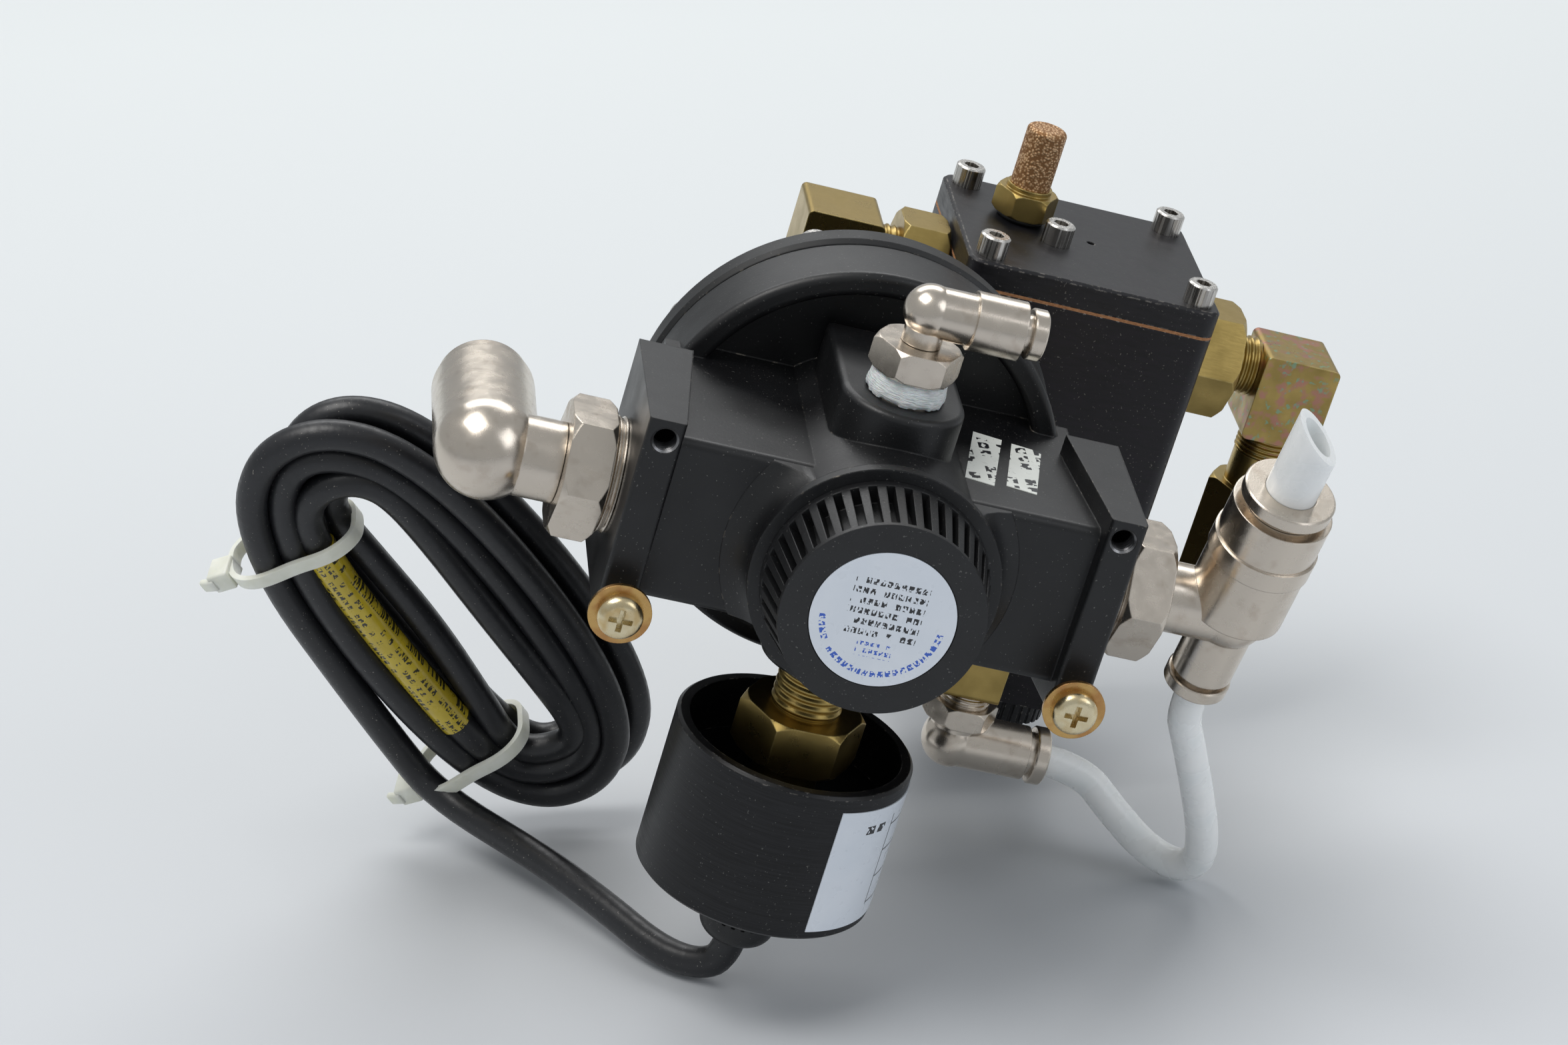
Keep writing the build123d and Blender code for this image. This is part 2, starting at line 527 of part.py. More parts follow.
with BuildPart() as gland:
    rod(toward_bottom, gland_radius - 0.6, housing_bottom, gland_base)
    rod(toward_bottom, gland_radius, gland_base, gland_end)
    fillet(gland.edges().filter_by(GeomType.CIRCLE).group_by(Axis.Z)[0], gland_round)
    with BuildSketch(toward_bottom.offset(gland_base)):
        with PolarLocations(gland_radius, gland_flutes):
            Circle(gland_flute_radius)
    extrude(amount=gland_ribs - gland_base, mode=Mode.SUBTRACT)
    rod(toward_bottom, cable_diameter / 2 + 0.05, gland_end - gland_mouth, gland_end, Mode.SUBTRACT)
finish(gland, "cable_gland")

# ---- Pilot controller: housing, gasket, cover and what they hold
gasket_top = cover_top - cover_thickness
housing_top_z = gasket_top - gasket_thickness


def box_block(start, end, inset=0.0, mode=Mode.ADD):
    """A block of the controller's rounded outline between two heights."""
    with BuildSketch(Plane.XY.offset(start)) as outline:
        with Locations((box_x, box_y)):
            RectangleRounded(box_width - 2 * inset, box_depth - 2 * inset, max(box_corner - inset, 0.8))
    extrude(outline.sketch, amount=end - start, mode=mode)


screw_x = box_width / 2 - cover_screw_inset
screw_y = box_depth / 2 - cover_screw_inset
screw_places = [(box_x + i * screw_x, box_y + j * screw_y) for i in (-1, 1) for j in (-1, 1)]
with BuildPart() as controller:
    box_block(box_bottom, housing_top_z)
    box_block(box_bottom + box_wall, housing_top_z, box_wall, Mode.SUBTRACT)
    for x, y in screw_places:
        with BuildSketch(Plane.XY.offset(housing_top_z - 12)):
            with Locations((x, y)):
                Circle(3.6)
        extrude(amount=12)
    box_block(box_bottom, housing_top_z, mode=Mode.INTERSECT)
    with BuildSketch(Plane.XY.offset(housing_top_z)):
        with Locations(*screw_places):
            Circle(cover_screw_radius)
    extrude(amount=-8, mode=Mode.SUBTRACT)
    half = box_width / 2
    rod(axis_plane(toward_outlet, box_x, box_y, left_port_z), 4.8, half - box_wall, half, Mode.SUBTRACT)
    rod(axis_plane(toward_inlet, box_x, box_y, right_port_z), 4.8, half - box_wall, half, Mode.SUBTRACT)
    rod(axis_plane(toward_front, feed_x, box_y, feed_z), 5.2, box_depth / 2 - box_wall, box_depth / 2, Mode.SUBTRACT)
    rod(axis_plane(toward_bottom, connector_x, connector_y, 0), 6.0, -box_bottom - box_wall, -box_bottom, Mode.SUBTRACT)
finish(controller, "controller_housing")

with BuildPart() as gasket:
    box_block(housing_top_z, gasket_top)
    box_block(housing_top_z, gasket_top, box_wall + 3, Mode.SUBTRACT)
    with BuildSketch(Plane.XY.offset(housing_top_z)):
        with Locations(*screw_places):
            Circle(cover_screw_radius + 0.3)
    extrude(amount=gasket_thickness, mode=Mode.SUBTRACT)
finish(gasket, "controller_gasket")

with BuildPart() as cover:
    box_block(gasket_top, cover_top)
    chamfer(cover.edges().group_by(Axis.Z)[-1], 0.5)
    with BuildSketch(Plane.XY.offset(gasket_top)):
        with Locations(*screw_places, extra_screw):
            Circle(cover_screw_radius + 0.2)
        with Locations((silencer_x, silencer_y)):
            Circle(3.2)
        with Locations((47.6, 89.0)):
            Circle(0.8)
    extrude(amount=cover_thickness, mode=Mode.SUBTRACT)
finish(cover, "controller_cover")

with BuildPart() as cover_screws:
    with BuildSketch(Plane.XY.offset(cover_top)):
        with Locations(*screw_places, extra_screw):
            Circle(cover_head_radius)
    extrude(amount=cover_head)
    chamfer(cover_screws.edges().filter_by(GeomType.CIRCLE).group_by(Axis.Z)[-1], 0.35)
    with BuildSketch(Plane.XY.offset(housing_top_z - 6)):
        with Locations(*screw_places):
            Circle(cover_screw_radius - thread_fit)
    extrude(amount=6 + gasket_thickness + cover_thickness)
    with BuildSketch(Plane.XY.offset(gasket_top)):
        with Locations(extra_screw):
            Circle(cover_screw_radius - thread_fit)
    extrude(amount=cover_thickness)
    with BuildSketch(Plane.XY.offset(cover_top + cover_head)):
        with Locations(*screw_places, extra_screw):
            RegularPolygon(1.6, 6)
    extrude(amount=-2.2, mode=Mode.SUBTRACT)
finish(cover_screws, "cover_screws")

# ---- Exhaust silencer: ring seal, brass hexagon, sintered bronze element
silencer_base = cover_top + 1.2
silencer_axis = axis_plane(Plane.XY, silencer_x, silencer_y, 0)
silencer_nut = hex_solid(silencer_axis, silencer_flats, silencer_base, silencer_base + silencer_hex)
with BuildPart() as silencer:
    add(silencer_nut)
    rod(silencer_axis, 3.15, gasket_top, silencer_base)
    rod(silencer_axis, silencer_radius + 0.5, silencer_base + silencer_hex, silencer_base + silencer_hex + 1.0)
finish(silencer, "silencer_hexagon")
with BuildPart() as element:
    rod(silencer_axis, silencer_radius, silencer_base + silencer_hex + 1.0, silencer_top)
    fillet(element.edges().group_by(Axis.Z)[-1], 1.0)
finish(element, "silencer_element")
with BuildPart() as silencer_ring:
    with BuildSketch(Plane(origin=(silencer_x, silencer_y, 0), x_dir=(1, 0, 0), z_dir=(0, -1, 0))):
        with Locations((4.2, cover_top + 0.6)):
            Circle(0.58)
    revolve(axis=Axis((silencer_x, silencer_y, 0), (0, 0, 1)))
finish(silencer_ring, "silencer_seal_ring")

# ---- Inside the controller: circuit board and two solenoid valves
board_z, board_length = -18.0, 62.0
with BuildPart() as board:
    with Locations((box_x + 12, box_y, board_z)):
        Box(board_thickness, box_depth - 2 * box_wall - 0.4, board_length)
finish(board, "controller_board")
with BuildPart() as solenoids:
    for y in (box_y - 9.5, box_y + 9.5):
        with Locations((box_x - 11, y, -26)):
            Box(20, 17, 30)
        rod(axis_plane(Plane.XY, box_x - 11, y, 0), 5, -11, 6)
    with Locations((box_x - 11, box_y, -46)):
        Box(20.6, box_depth - 2 * box_wall - 1, 14)
finish(solenoids, "solenoid_valves")

# ---- Electrical connector under the controller
connector_axis = axis_plane(toward_bottom, connector_x, connector_y, 0)
lowest = stand_height / cos(radians(lean)) - (connector_x + plug_radius) * tan(radians(lean))
with BuildPart() as connector_ring:
    rod(connector_axis, connector_radius, -box_bottom, -connector_ring_end)
    with BuildSketch(connector_axis.offset(-box_bottom + 2.5)):
        with PolarLocations(connector_radius, 30):
            Circle(0.4)
    extrude(amount=-connector_ring_end + box_bottom - 2.5, mode=Mode.SUBTRACT)
    rod(connector_axis, plug_radius - 2, -box_bottom, -connector_ring_end, Mode.SUBTRACT)
finish(connector_ring, "connector_ring")
with BuildPart() as connector_plug:
    rod(connector_axis, plug_radius - 2 - slide_fit, -box_bottom - box_wall, -connector_ring_end)
    rod(connector_axis, plug_radius, -connector_ring_end, lowest)
finish(connector_plug, "connector_plug")


# ---- Brass pipework from the controller
def nipple_bushing(direction, port_z, flats, hex_length, thread_end, label):
    """Hexagon bushing screwed into one side of the controller."""
    line = axis_plane(direction, box_x, box_y, port_z)
    face = box_width / 2
    hexagon = hex_solid(line, flats, face + 0.6, face + 0.6 + hex_length)
    with BuildPart() as bushing:
        add(hexagon)
        rod(line, 4.8 - thread_fit, face - box_wall, face + 0.6)
        rod(line, 5.6, face + 0.6 + hex_length, thread_end)
        rod(line, 2.6, face - box_wall, thread_end, Mode.SUBTRACT)
    finish(bushing, label)


left_face = pilot_x + left_block / 2
nipple_bushing(toward_outlet, left_port_z, left_flats, 9.5, box_x - left_face, "left_bushing")
right_face = right_block_x - right_block / 2
nipple_bushing(toward_inlet, right_port_z, right_flats, 10.5, right_face - box_x, "right_bushing")

pilot_block_top = 8.0
branch_nut = hex_solid(
    axis_plane(toward_bottom, pilot_x, box_y, 0), 14.0,
    -left_port_z - 0.4 + left_block / 2, -pilot_block_top,
)
with BuildPart() as left_elbow:
    with Locations((pilot_x, box_y, left_port_z + 0.4)):
        Box(left_block, left_block, left_block)
    fillet(left_elbow.edges().filter_by(Axis.Y), 1.0)
    add(branch_nut)
    rod(axis_plane(toward_bottom, pilot_x, box_y, 0), 5.0, -left_port_z, -pilot_block_top)
finish(left_elbow, "left_elbow")

with BuildPart() as pilot_elbow:
    with Locations((pilot_x, box_y, 0)):
        Box(13.4, 13.4, 2 * pilot_block_top)
    fillet(pilot_elbow.edges().filter_by(Axis.X), 1.0)
    rod(axis_plane(toward_front, pilot_x, 0, 0), 5.0 - thread_fit, -box_y, -bonnet_crown + 2)
finish(pilot_elbow, "pilot_elbow")

with BuildPart() as right_elbow:
    with Locations((right_block_x, box_y, right_port_z - 3.4)):
        Box(right_block, right_block, right_block + 2.6)
    fillet(right_elbow.edges().filter_by(Axis.Y), 1.2)
    filter_top = right_port_z - 3.4 - (right_block + 2.6) / 2
    rod(axis_plane(toward_bottom, right_block_x, box_y, 0), filter_radius - 0.3, -filter_top, -filter_top + 5)
finish(right_elbow, "right_elbow")

filter_axis = axis_plane(toward_bottom, right_block_x, box_y, 0)
filter_start = -filter_top + 5
filter_nut = hex_solid(filter_axis, filter_flats, filter_start + 7, -filter_end)
with BuildPart() as line_filter:
    add(filter_nut)
    rod(filter_axis, filter_radius, filter_start, filter_start + 7)
    rod(filter_axis, filter_radius, -filter_end, -filter_end + 2)
finish(line_filter, "line_filter")

# ---- Controller feed: brass street elbow, nickel push-in elbow and its collet
street_line = axis_plane(toward_front, feed_x, 0, feed_z)
with BuildPart() as street:
    with Locations((feed_x, feed_y, feed_z)):
        Box(feed_block, feed_block, feed_block)
    fillet(street.edges().filter_by(Axis.X), 1.0)
    rod(street_line, 5.2 - thread_fit, -(box_y - box_depth / 2 + box_wall), -feed_y)
finish(street, "feed_street_elbow")

feed_down = axis_plane(toward_bottom, feed_x, feed_y, 0)
feed_out = axis_plane(toward_inlet, feed_x, feed_y, feed_ball_z)
feed_nut = hex_solid(feed_down, feed_hex_flats, -feed_z + feed_block / 2 + 2.2, -feed_z + feed_block / 2 + 6.5)
with BuildPart() as feed_elbow:
    add(feed_nut)
    rod(feed_down, 4.8, -feed_z + feed_block / 2, -feed_ball_z)
    with Locations((feed_x, feed_y, feed_ball_z)):
        Sphere(feed_arm + 0.4)
    rod(feed_out, feed_arm, 0, feed_arm_end)
    rod(feed_out, pilot_tube + slide_fit, 5, feed_arm_end, Mode.SUBTRACT)
    rod(feed_out, feed_arm - 0.9, feed_arm_end - 3, feed_arm_end, Mode.SUBTRACT)
finish(feed_elbow, "feed_elbow")
collet(feed_out, pilot_tube, feed_arm - 1.0, feed_arm + 0.4, feed_arm_end, "feed_collet")


# ---- Cords: straight runs joined by arcs as large as the runs allow
def cord_tube(route, diameter, label):
    """A round tube along the route; prints the radii of its arcs."""
    points = [Vector(*p) for p in route]
    runs = [b - a for a, b in zip(points, points[1:])]
    radii = [
        0.45 * min(a.length, b.length) / tan(radians(a.get_angle(b)) / 2)
        for a, b in zip(runs, runs[1:])
    ]
    with BuildPart() as tube:
        with BuildLine() as line:
            FilletPolyline(*points, radius=radii)
        with BuildSketch(Plane(line.line @ 0, z_dir=line.line % 0)):
            Circle(diameter / 2)
        sweep()
    tube.part.label = label
    export_step(tube.part, f"parts/{label}.step")
    section = pi * diameter ** 2 / 4
    length = sum(edge.length for edge in line.edges())
    print(label, "arc radii", [round(r, 1) for r in radii], "length", round(length),
          "volume over section times length", round(tube.part.volume / section / length, 4))


def placed(x, y, z):
    """A point of the upright frame where it lies once the assembly leans."""
    return tuple((tip_up * Location((x, y, z))).position)


# Transducer cable: out of the gland, round under it and along to the coil
cable_route = [
    placed(0, 0, -gland_end + 2.9),
    (-39.1, -37.6, 6.2),
    (-43.7, -36.6, 3.3),
    (-51.5, -31.0, 3.5),
    (-61.1, -18.0, 6.2),
    (-71.6, -3.8, 8.0),
    (-81.1, 9.0, 8.6),
    (-87.2, 16.9, 9.3),
]
cord_tube(cable_route, cable_diameter, "sensor_cable_lead")

# The tied coil stands on edge and leans forward against the outlet elbow
coil_centre = (-88.3, 12.4, 53.6)
coil_long, coil_wide, coil_thick = 116.0, 53.0, 14.0
coil_slot_long, coil_slot, coil_round = 70.0, 7.0, 3.0
coil_roll = 29.7             # long axis from upright, in the coil's own plane, degrees
coil_pitch = 14.0            # forward lean of that plane, degrees
roll, pitch = radians(coil_roll), radians(coil_pitch)
coil_plane = Plane(
    origin=coil_centre,
    x_dir=(sin(roll), cos(roll) * sin(pitch), -cos(roll) * cos(pitch)),
    z_dir=(0, -cos(pitch), -sin(pitch)),
)
with BuildPart() as coil:
    with BuildSketch(coil_plane.offset(-coil_thick / 2)) as outline:
        SlotOverall(coil_long, coil_wide)
        SlotOverall(coil_slot_long, coil_slot, mode=Mode.SUBTRACT)
    extrude(amount=coil_thick)
    fillet(coil.edges().filter_by(Axis((0, 0, 0), coil_plane.z_dir), reverse=True), coil_round)
coil.part.label = "sensor_cable_coil"
export_step(coil.part, "parts/sensor_cable_coil.step")

# Nylon ties round the outer limb of the coil
tie_width, tie_thickness, tie_head = 3.6, 1.2, 5.4
limb = (coil_wide - coil_slot) / 2
limb_middle = -(coil_slot + limb) / 2
for name, place in (("cable_tie_upper", -31.0), ("cable_tie_lower", 32.0)):
    across = Plane(
        origin=coil_plane.from_local_coords(Vector(place - tie_width / 2, limb_middle, 0)),
        x_dir=coil_plane.y_dir, z_dir=coil_plane.x_dir,
    )
    with BuildPart() as tie:
        with BuildSketch(across):
            RectangleRounded(limb + 2 * tie_thickness, coil_thick + 2 * tie_thickness, coil_round + tie_thickness)
            RectangleRounded(limb, coil_thick, coil_round, mode=Mode.SUBTRACT)
        extrude(amount=tie_width)
        with BuildSketch(across.offset(-0.6)):
            with Locations((-limb / 2 - tie_thickness / 2 - tie_head / 2, 0)):
                Rectangle(tie_head, 4.6)
        extrude(amount=tie_width + 1.2)
    tie.part.label = name
    export_step(tie.part, f"parts/{name}.step")

# Pilot air hose: down from the tee branch, round a tight bend on the floor, up to the feed elbow
tee_branch_way = (0, sin(radians(tee_tilt)), -cos(radians(tee_tilt)))
hose_route = [
    placed(tee_x, 9 * tee_branch_way[1], 9 * tee_branch_way[2]),
    placed(tee_x, 26 * tee_branch_way[1], 26 * tee_branch_way[2]),
    (48.5, -25.8, 40.5),
    (51.5, -21.0, 27.5),
    (53.9, -17.2, 15.4),
    (54.1, -13.5, 7.0),
    (50.7, -9.6, 3.6),
    (44.9, -5.2, 5.6),
    (39.3, -0.9, 11.4),
    placed(feed_x + 26, feed_y, feed_ball_z),
    placed(feed_x + 10, feed_y, feed_ball_z),
]
cord_tube(hose_route, 2 * pilot_tube, "pilot_air_hose")
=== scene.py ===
import json
from math import cos, pi, radians, sin, tanh

import bmesh
import bpy
from mathutils import Matrix, Vector


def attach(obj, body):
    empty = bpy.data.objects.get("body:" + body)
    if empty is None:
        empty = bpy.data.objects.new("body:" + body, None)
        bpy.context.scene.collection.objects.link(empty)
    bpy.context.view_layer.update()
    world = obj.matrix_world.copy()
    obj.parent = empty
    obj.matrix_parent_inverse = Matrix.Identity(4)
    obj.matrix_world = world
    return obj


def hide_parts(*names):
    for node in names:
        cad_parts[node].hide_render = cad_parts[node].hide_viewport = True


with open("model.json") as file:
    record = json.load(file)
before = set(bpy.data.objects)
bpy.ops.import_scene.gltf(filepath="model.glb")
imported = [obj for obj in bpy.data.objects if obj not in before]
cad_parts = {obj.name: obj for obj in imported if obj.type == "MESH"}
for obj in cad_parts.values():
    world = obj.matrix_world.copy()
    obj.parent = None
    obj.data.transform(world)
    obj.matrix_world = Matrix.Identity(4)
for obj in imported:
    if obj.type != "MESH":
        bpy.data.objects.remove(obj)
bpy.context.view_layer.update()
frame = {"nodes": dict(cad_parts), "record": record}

mm = 0.001
nodes = frame["nodes"]
print("frame loaded:", len(nodes), "CAD nodes")

# The regulator is drawn upright about its port axes, in millimetres, and this lays it down
stance = {"foot": (-14.3, -37.6), "height": 93.0, "lean": radians(16)}
portAxes = Vector((*stance["foot"], stance["height"])) * mm
leanOver = Matrix.Translation(portAxes) @ Matrix.Rotation(stance["lean"], 4, "Y") @ Matrix.Scale(mm, 4)


def placed(x, y, z):
    return leanOver @ Vector((x, y, z))


# The plane of the tied coil, which its cable, sleeve and ties share
coilPlane = {"centre": Vector((-88.3, 12.4, 53.6)), "roll": radians(29.7), "pitch": radians(14.0)}


def coilAxes():
    # Down the coil's long axis, across it to the right, and out of it towards the front
    roll, pitch = coilPlane["roll"], coilPlane["pitch"]
    along = Vector((sin(roll), cos(roll) * sin(pitch), -cos(roll) * cos(pitch)))
    across = Vector((cos(roll), -sin(pitch) * sin(roll), cos(pitch) * sin(roll)))
    out = Vector((0, -cos(pitch), -sin(pitch)))
    return along, across, out


# Camera, light and floor
camera = {
    "place": (-0.0842, -0.6977, 0.4153),
    "right": (0.9963, -0.0864, -0.0035),
    "up": (0.0407, 0.4335, 0.9002),
    "lens": 95.4,
    "sensor": 36.0,
    "clip": (0.05, 20.0),
}


def makeCamera():
    right, up = Vector(camera["right"]).normalized(), Vector(camera["up"]).normalized()
    back = right.cross(up).normalized()
    up = back.cross(right)
    data = bpy.data.cameras.new("studio_camera")
    data.lens, data.sensor_width = camera["lens"], camera["sensor"]
    data.clip_start, data.clip_end = camera["clip"]
    view = bpy.data.objects.new("studio_camera", data)
    bpy.context.scene.collection.objects.link(view)
    turn = Matrix((right, up, back)).transposed().to_4x4()
    view.matrix_world = Matrix.Translation(Vector(camera["place"])) @ turn
    bpy.context.scene.camera = view


softboxes = {
    "key": {"place": (-0.5, -0.2, 1.35), "size": (0.9, 0.7), "power": 11.0, "colour": "#FFFDFA"},
    "fill": {"place": (1.15, -0.75, 0.9), "size": (0.9, 0.9), "power": 4.0, "colour": "#F6F9FF"},
    "rear": {"place": (0.1, 1.05, 1.05), "size": (1.5, 0.6), "power": 8.5, "colour": "#FFFFFF"},
}
room = {"colour": "#E9EDF0", "strength": 0.52, "aim": (0.0, 0.0, 0.05)}


def toLinear(hexCode):
    parts = [int(hexCode[i:i + 2], 16) / 255 for i in (1, 3, 5)]
    return tuple(c / 12.92 if c <= 0.04045 else ((c + 0.055) / 1.055) ** 2.4 for c in parts) + (1.0,)


def makeLights():
    for name, box in softboxes.items():
        data = bpy.data.lights.new("softbox_" + name, "AREA")
        data.shape, (data.size, data.size_y) = "RECTANGLE", box["size"]
        data.energy, data.color = box["power"], toLinear(box["colour"])[:3]
        light = bpy.data.objects.new("softbox_" + name, data)
        bpy.context.scene.collection.objects.link(light)
        light.location = box["place"]
        aim = Vector(room["aim"]) - light.location
        light.rotation_euler = aim.to_track_quat("-Z", "Y").to_euler()
    world = bpy.data.worlds.new("studio_room")
    world.use_nodes = True
    background = world.node_tree.nodes["Background"]
    background.inputs["Color"].default_value = toLinear(room["colour"])
    background.inputs["Strength"].default_value = room["strength"]
    bpy.context.scene.world = world
    bpy.context.scene.view_settings.view_transform = "Standard"


# Building blocks for the finishes
def addNode(tree, kind, sockets=None, **settings):
    node = tree.nodes.new("ShaderNode" + kind)
    for name, value in settings.items():
        setattr(node, name, value)
    for name, value in (sockets or {}).items():
        if isinstance(value, bpy.types.NodeSocket):
            tree.links.new(value, node.inputs[name])
        else:
            node.inputs[name].default_value = value
    return node


def startFinish(name, upright=True, **sockets):
    # Returns the finish, its tree and shader, and Object coordinates in millimetres.
    # They are in the upright frame of the regulator, or in the row frame when upright is False
    finish = bpy.data.materials.new(name)
    finish.use_nodes = True
    tree = finish.node_tree
    shader = tree.nodes["Principled BSDF"]
    for key, value in sockets.items():
        shader.inputs[key.replace("_", " ")].default_value = value
    coords = addNode(tree, "TexCoord").outputs["Object"]
    place = portAxes if upright else (0, 0, 0)
    turn = (0, stance["lean"] if upright else 0, 0)
    local = addNode(tree, "Mapping", {
        "Vector": coords, "Location": place, "Rotation": turn, "Scale": (mm, mm, mm),
    }, vector_type="TEXTURE")
    return finish, tree, shader, local.outputs["Vector"]


def blotches(tree, at, size, low, high, detail=3.0, stretch=(1, 1, 1)):
    # Noise with features of that size in millimetres, spread from 0 at low to 1 at high
    if stretch != (1, 1, 1):
        at = addNode(tree, "Mapping", {"Vector": at, "Scale": stretch}).outputs["Vector"]
    noise = addNode(tree, "TexNoise", {"Vector": at, "Scale": 1 / size, "Detail": detail})
    spread = addNode(tree, "MapRange", {"Value": noise.outputs["Fac"], "From Min": low, "From Max": high})
    return spread.outputs["Result"]


def blend(tree, factor, first, second):
    first, second = (toLinear(c) if isinstance(c, str) else c for c in (first, second))
    return addNode(tree, "Mix", {0: factor, 6: first, 7: second}, data_type="RGBA").outputs[2]


def between(tree, factor, first, second):
    return addNode(tree, "MapRange", {"Value": factor, "To Min": first, "To Max": second}).outputs["Result"]


def sums(tree, operation, first, second=0.0):
    return addNode(tree, "Math", {0: first, 1: second}, operation=operation).outputs[0]


def softEdge(tree, width):
    return addNode(tree, "Bevel", {"Radius": width * mm}, samples=4).outputs["Normal"]


def edgeWear(tree, at, width, patch, low, high):
    # 1 along sharp edges, broken up by blotches of the size of patch
    true = addNode(tree, "NewGeometry").outputs["Normal"]
    turned = addNode(tree, "VectorMath", {0: softEdge(tree, width), 1: true}, operation="DOT_PRODUCT")
    edge = addNode(tree, "MapRange", {
        "Value": turned.outputs["Value"], "From Min": 0.985, "From Max": 0.86}).outputs["Result"]
    return sums(tree, "MULTIPLY", edge, blotches(tree, at, patch, low, high, 4.0))


def relief(tree, height, depth, normal=None):
    sockets = {"Height": height, "Distance": depth * mm}
    if normal is not None:
        sockets["Normal"] = normal
    return addNode(tree, "Bump", sockets).outputs["Normal"]


def dustSpecks(tree, at, size=0.45, share=0.72):
    # Lint and grit that settled on the piece
    return blotches(tree, at, size, share, share + 0.03, 1.0)


def both(tree, first, second):
    return sums(tree, "MULTIPLY", first, second)


def within(tree, value, low, high):
    return both(tree, sums(tree, "GREATER_THAN", value, low), sums(tree, "LESS_THAN", value, high))


def printRows(tree, along, across, width, pitch, empty):
    # Rows of meaningless marks the size of print: cells of that width, rows at that pitch, in millimetres.
    # A share of the cells, empty, is left out
    column, row = sums(tree, "DIVIDE", along, width), sums(tree, "DIVIDE", across, pitch)
    corner = {0: sums(tree, "FLOOR", column), 1: sums(tree, "FLOOR", row)}
    cell = addNode(tree, "CombineXYZ", corner).outputs[0]
    present = addNode(tree, "TexWhiteNoise", {"Vector": cell}, noise_dimensions="2D").outputs["Value"]
    spot = addNode(tree, "CombineXYZ", {0: column, 1: row}).outputs[0]
    stroke = addNode(tree, "TexNoise", {"Vector": spot, "Scale": 2.6, "Detail": 1.0}).outputs["Fac"]
    inColumn = within(tree, sums(tree, "FRACT", column), 0.14, 0.86)
    inRow = within(tree, sums(tree, "FRACT", row), 0.2, 0.78)
    mark = both(tree, both(tree, inColumn, inRow), sums(tree, "GREATER_THAN", present, empty))
    return both(tree, mark, sums(tree, "GREATER_THAN", stroke, 0.47))


def join(tree, pairs):
    # Links sockets of the shader: {"Base Color": socket}
    shader = tree.nodes["Principled BSDF"]
    for name, socket in pairs.items():
        tree.links.new(socket, shader.inputs[name])


# Finishes
dustTone = "#8D8C88"


def castPaint(name, colour, roughness, chips):
    # Satin powder paint on a zinc die casting: faint orange peel, bare alloy where edges were knocked
    finish, tree, shader, at = startFinish(name, IOR=1.5)
    worn = edgeWear(tree, at, 0.5, 1.6, *chips)
    dust = sums(tree, "MULTIPLY", dustSpecks(tree, at), 0.35)
    paint = blend(tree, blotches(tree, at, 14.0, 0.3, 0.7), colour, "#101113")
    paint = blend(tree, dust, paint, dustTone)
    join(tree, {
        "Base Color": blend(tree, worn, paint, "#8C857A"),
        "Metallic": sums(tree, "MULTIPLY", worn, 0.7),
        "Roughness": between(tree, blotches(tree, at, 9.0, 0.3, 0.7), roughness - 0.05, roughness + 0.06),
        "Normal": relief(tree, blotches(tree, at, 0.55, 0.2, 0.8, 2.0), 0.012, softEdge(tree, 0.45)),
    })
    return finish


def anodisedTurned(name, colour):
    # Black anodised turned aluminium: fine lathe or brush lines along the cut
    finish, tree, shader, at = startFinish(name, Metallic=0.35)
    lines = blotches(tree, at, 3.0, 0.35, 0.65, 4.0, (0.35, 0.35, 16.0))
    worn = edgeWear(tree, at, 0.35, 1.2, 0.56, 0.66)
    paint = blend(tree, sums(tree, "MULTIPLY", lines, 0.5), colour, "#26272A")
    paint = blend(tree, sums(tree, "MULTIPLY", dustSpecks(tree, at), 0.3), paint, dustTone)
    join(tree, {
        "Base Color": blend(tree, worn, paint, "#9B9690"),
        "Roughness": between(tree, lines, 0.34, 0.46),
        "Normal": relief(tree, lines, 0.006, softEdge(tree, 0.3)),
    })
    return finish


def brassTurned(name, tarnish=0.45, bloom=0.0):
    # Machined brass gone dull: olive film in patches, brighter on gripped edges.
    # Bloom adds pink and green tarnish
    finish, tree, shader, at = startFinish(name, Metallic=1.0)
    film = sums(tree, "MULTIPLY", blotches(tree, at, 6.0, 0.35, 0.68, 5.0), tarnish)
    tool = blotches(tree, at, 2.4, 0.3, 0.7, 3.0, (1.0, 9.0, 1.0))
    worn = edgeWear(tree, at, 0.4, 2.0, 0.35, 0.7)
    colour = blend(tree, film, "#B0985C", "#6F6034")
    colour = blend(tree, worn, colour, "#D8C68C")
    if bloom:
        rosy = blotches(tree, at, 2.6, 0.5, 0.62, 4.0)
        green = blotches(tree, at, 1.5, 0.58, 0.66, 5.0)
        colour = blend(tree, sums(tree, "MULTIPLY", rosy, bloom), colour, "#B07A74")
        colour = blend(tree, sums(tree, "MULTIPLY", green, bloom), colour, "#7FA58C")
    join(tree, {
        "Base Color": colour,
        "Roughness": between(tree, film, 0.27, 0.5),
        "Normal": relief(tree, tool, 0.008, softEdge(tree, 0.35)),
    })
    return finish


def nickelBlasted(name):
    # Nickel plate on blasted brass: warm grey, softly sparkling, a little stained
    finish, tree, shader, at = startFinish(name, Metallic=1.0)
    stain = blotches(tree, at, 4.0, 0.55, 0.75, 4.0)
    colour = blend(tree, sums(tree, "MULTIPLY", stain, 0.35), "#D3C9BC", "#9C8A76")
    join(tree, {
        "Base Color": colour,
        "Roughness": between(tree, blotches(tree, at, 2.5, 0.3, 0.7), 0.2, 0.3),
        "Normal": relief(tree, blotches(tree, at, 0.28, 0.25, 0.75, 1.0), 0.003, softEdge(tree, 0.35)),
    })
    return finish


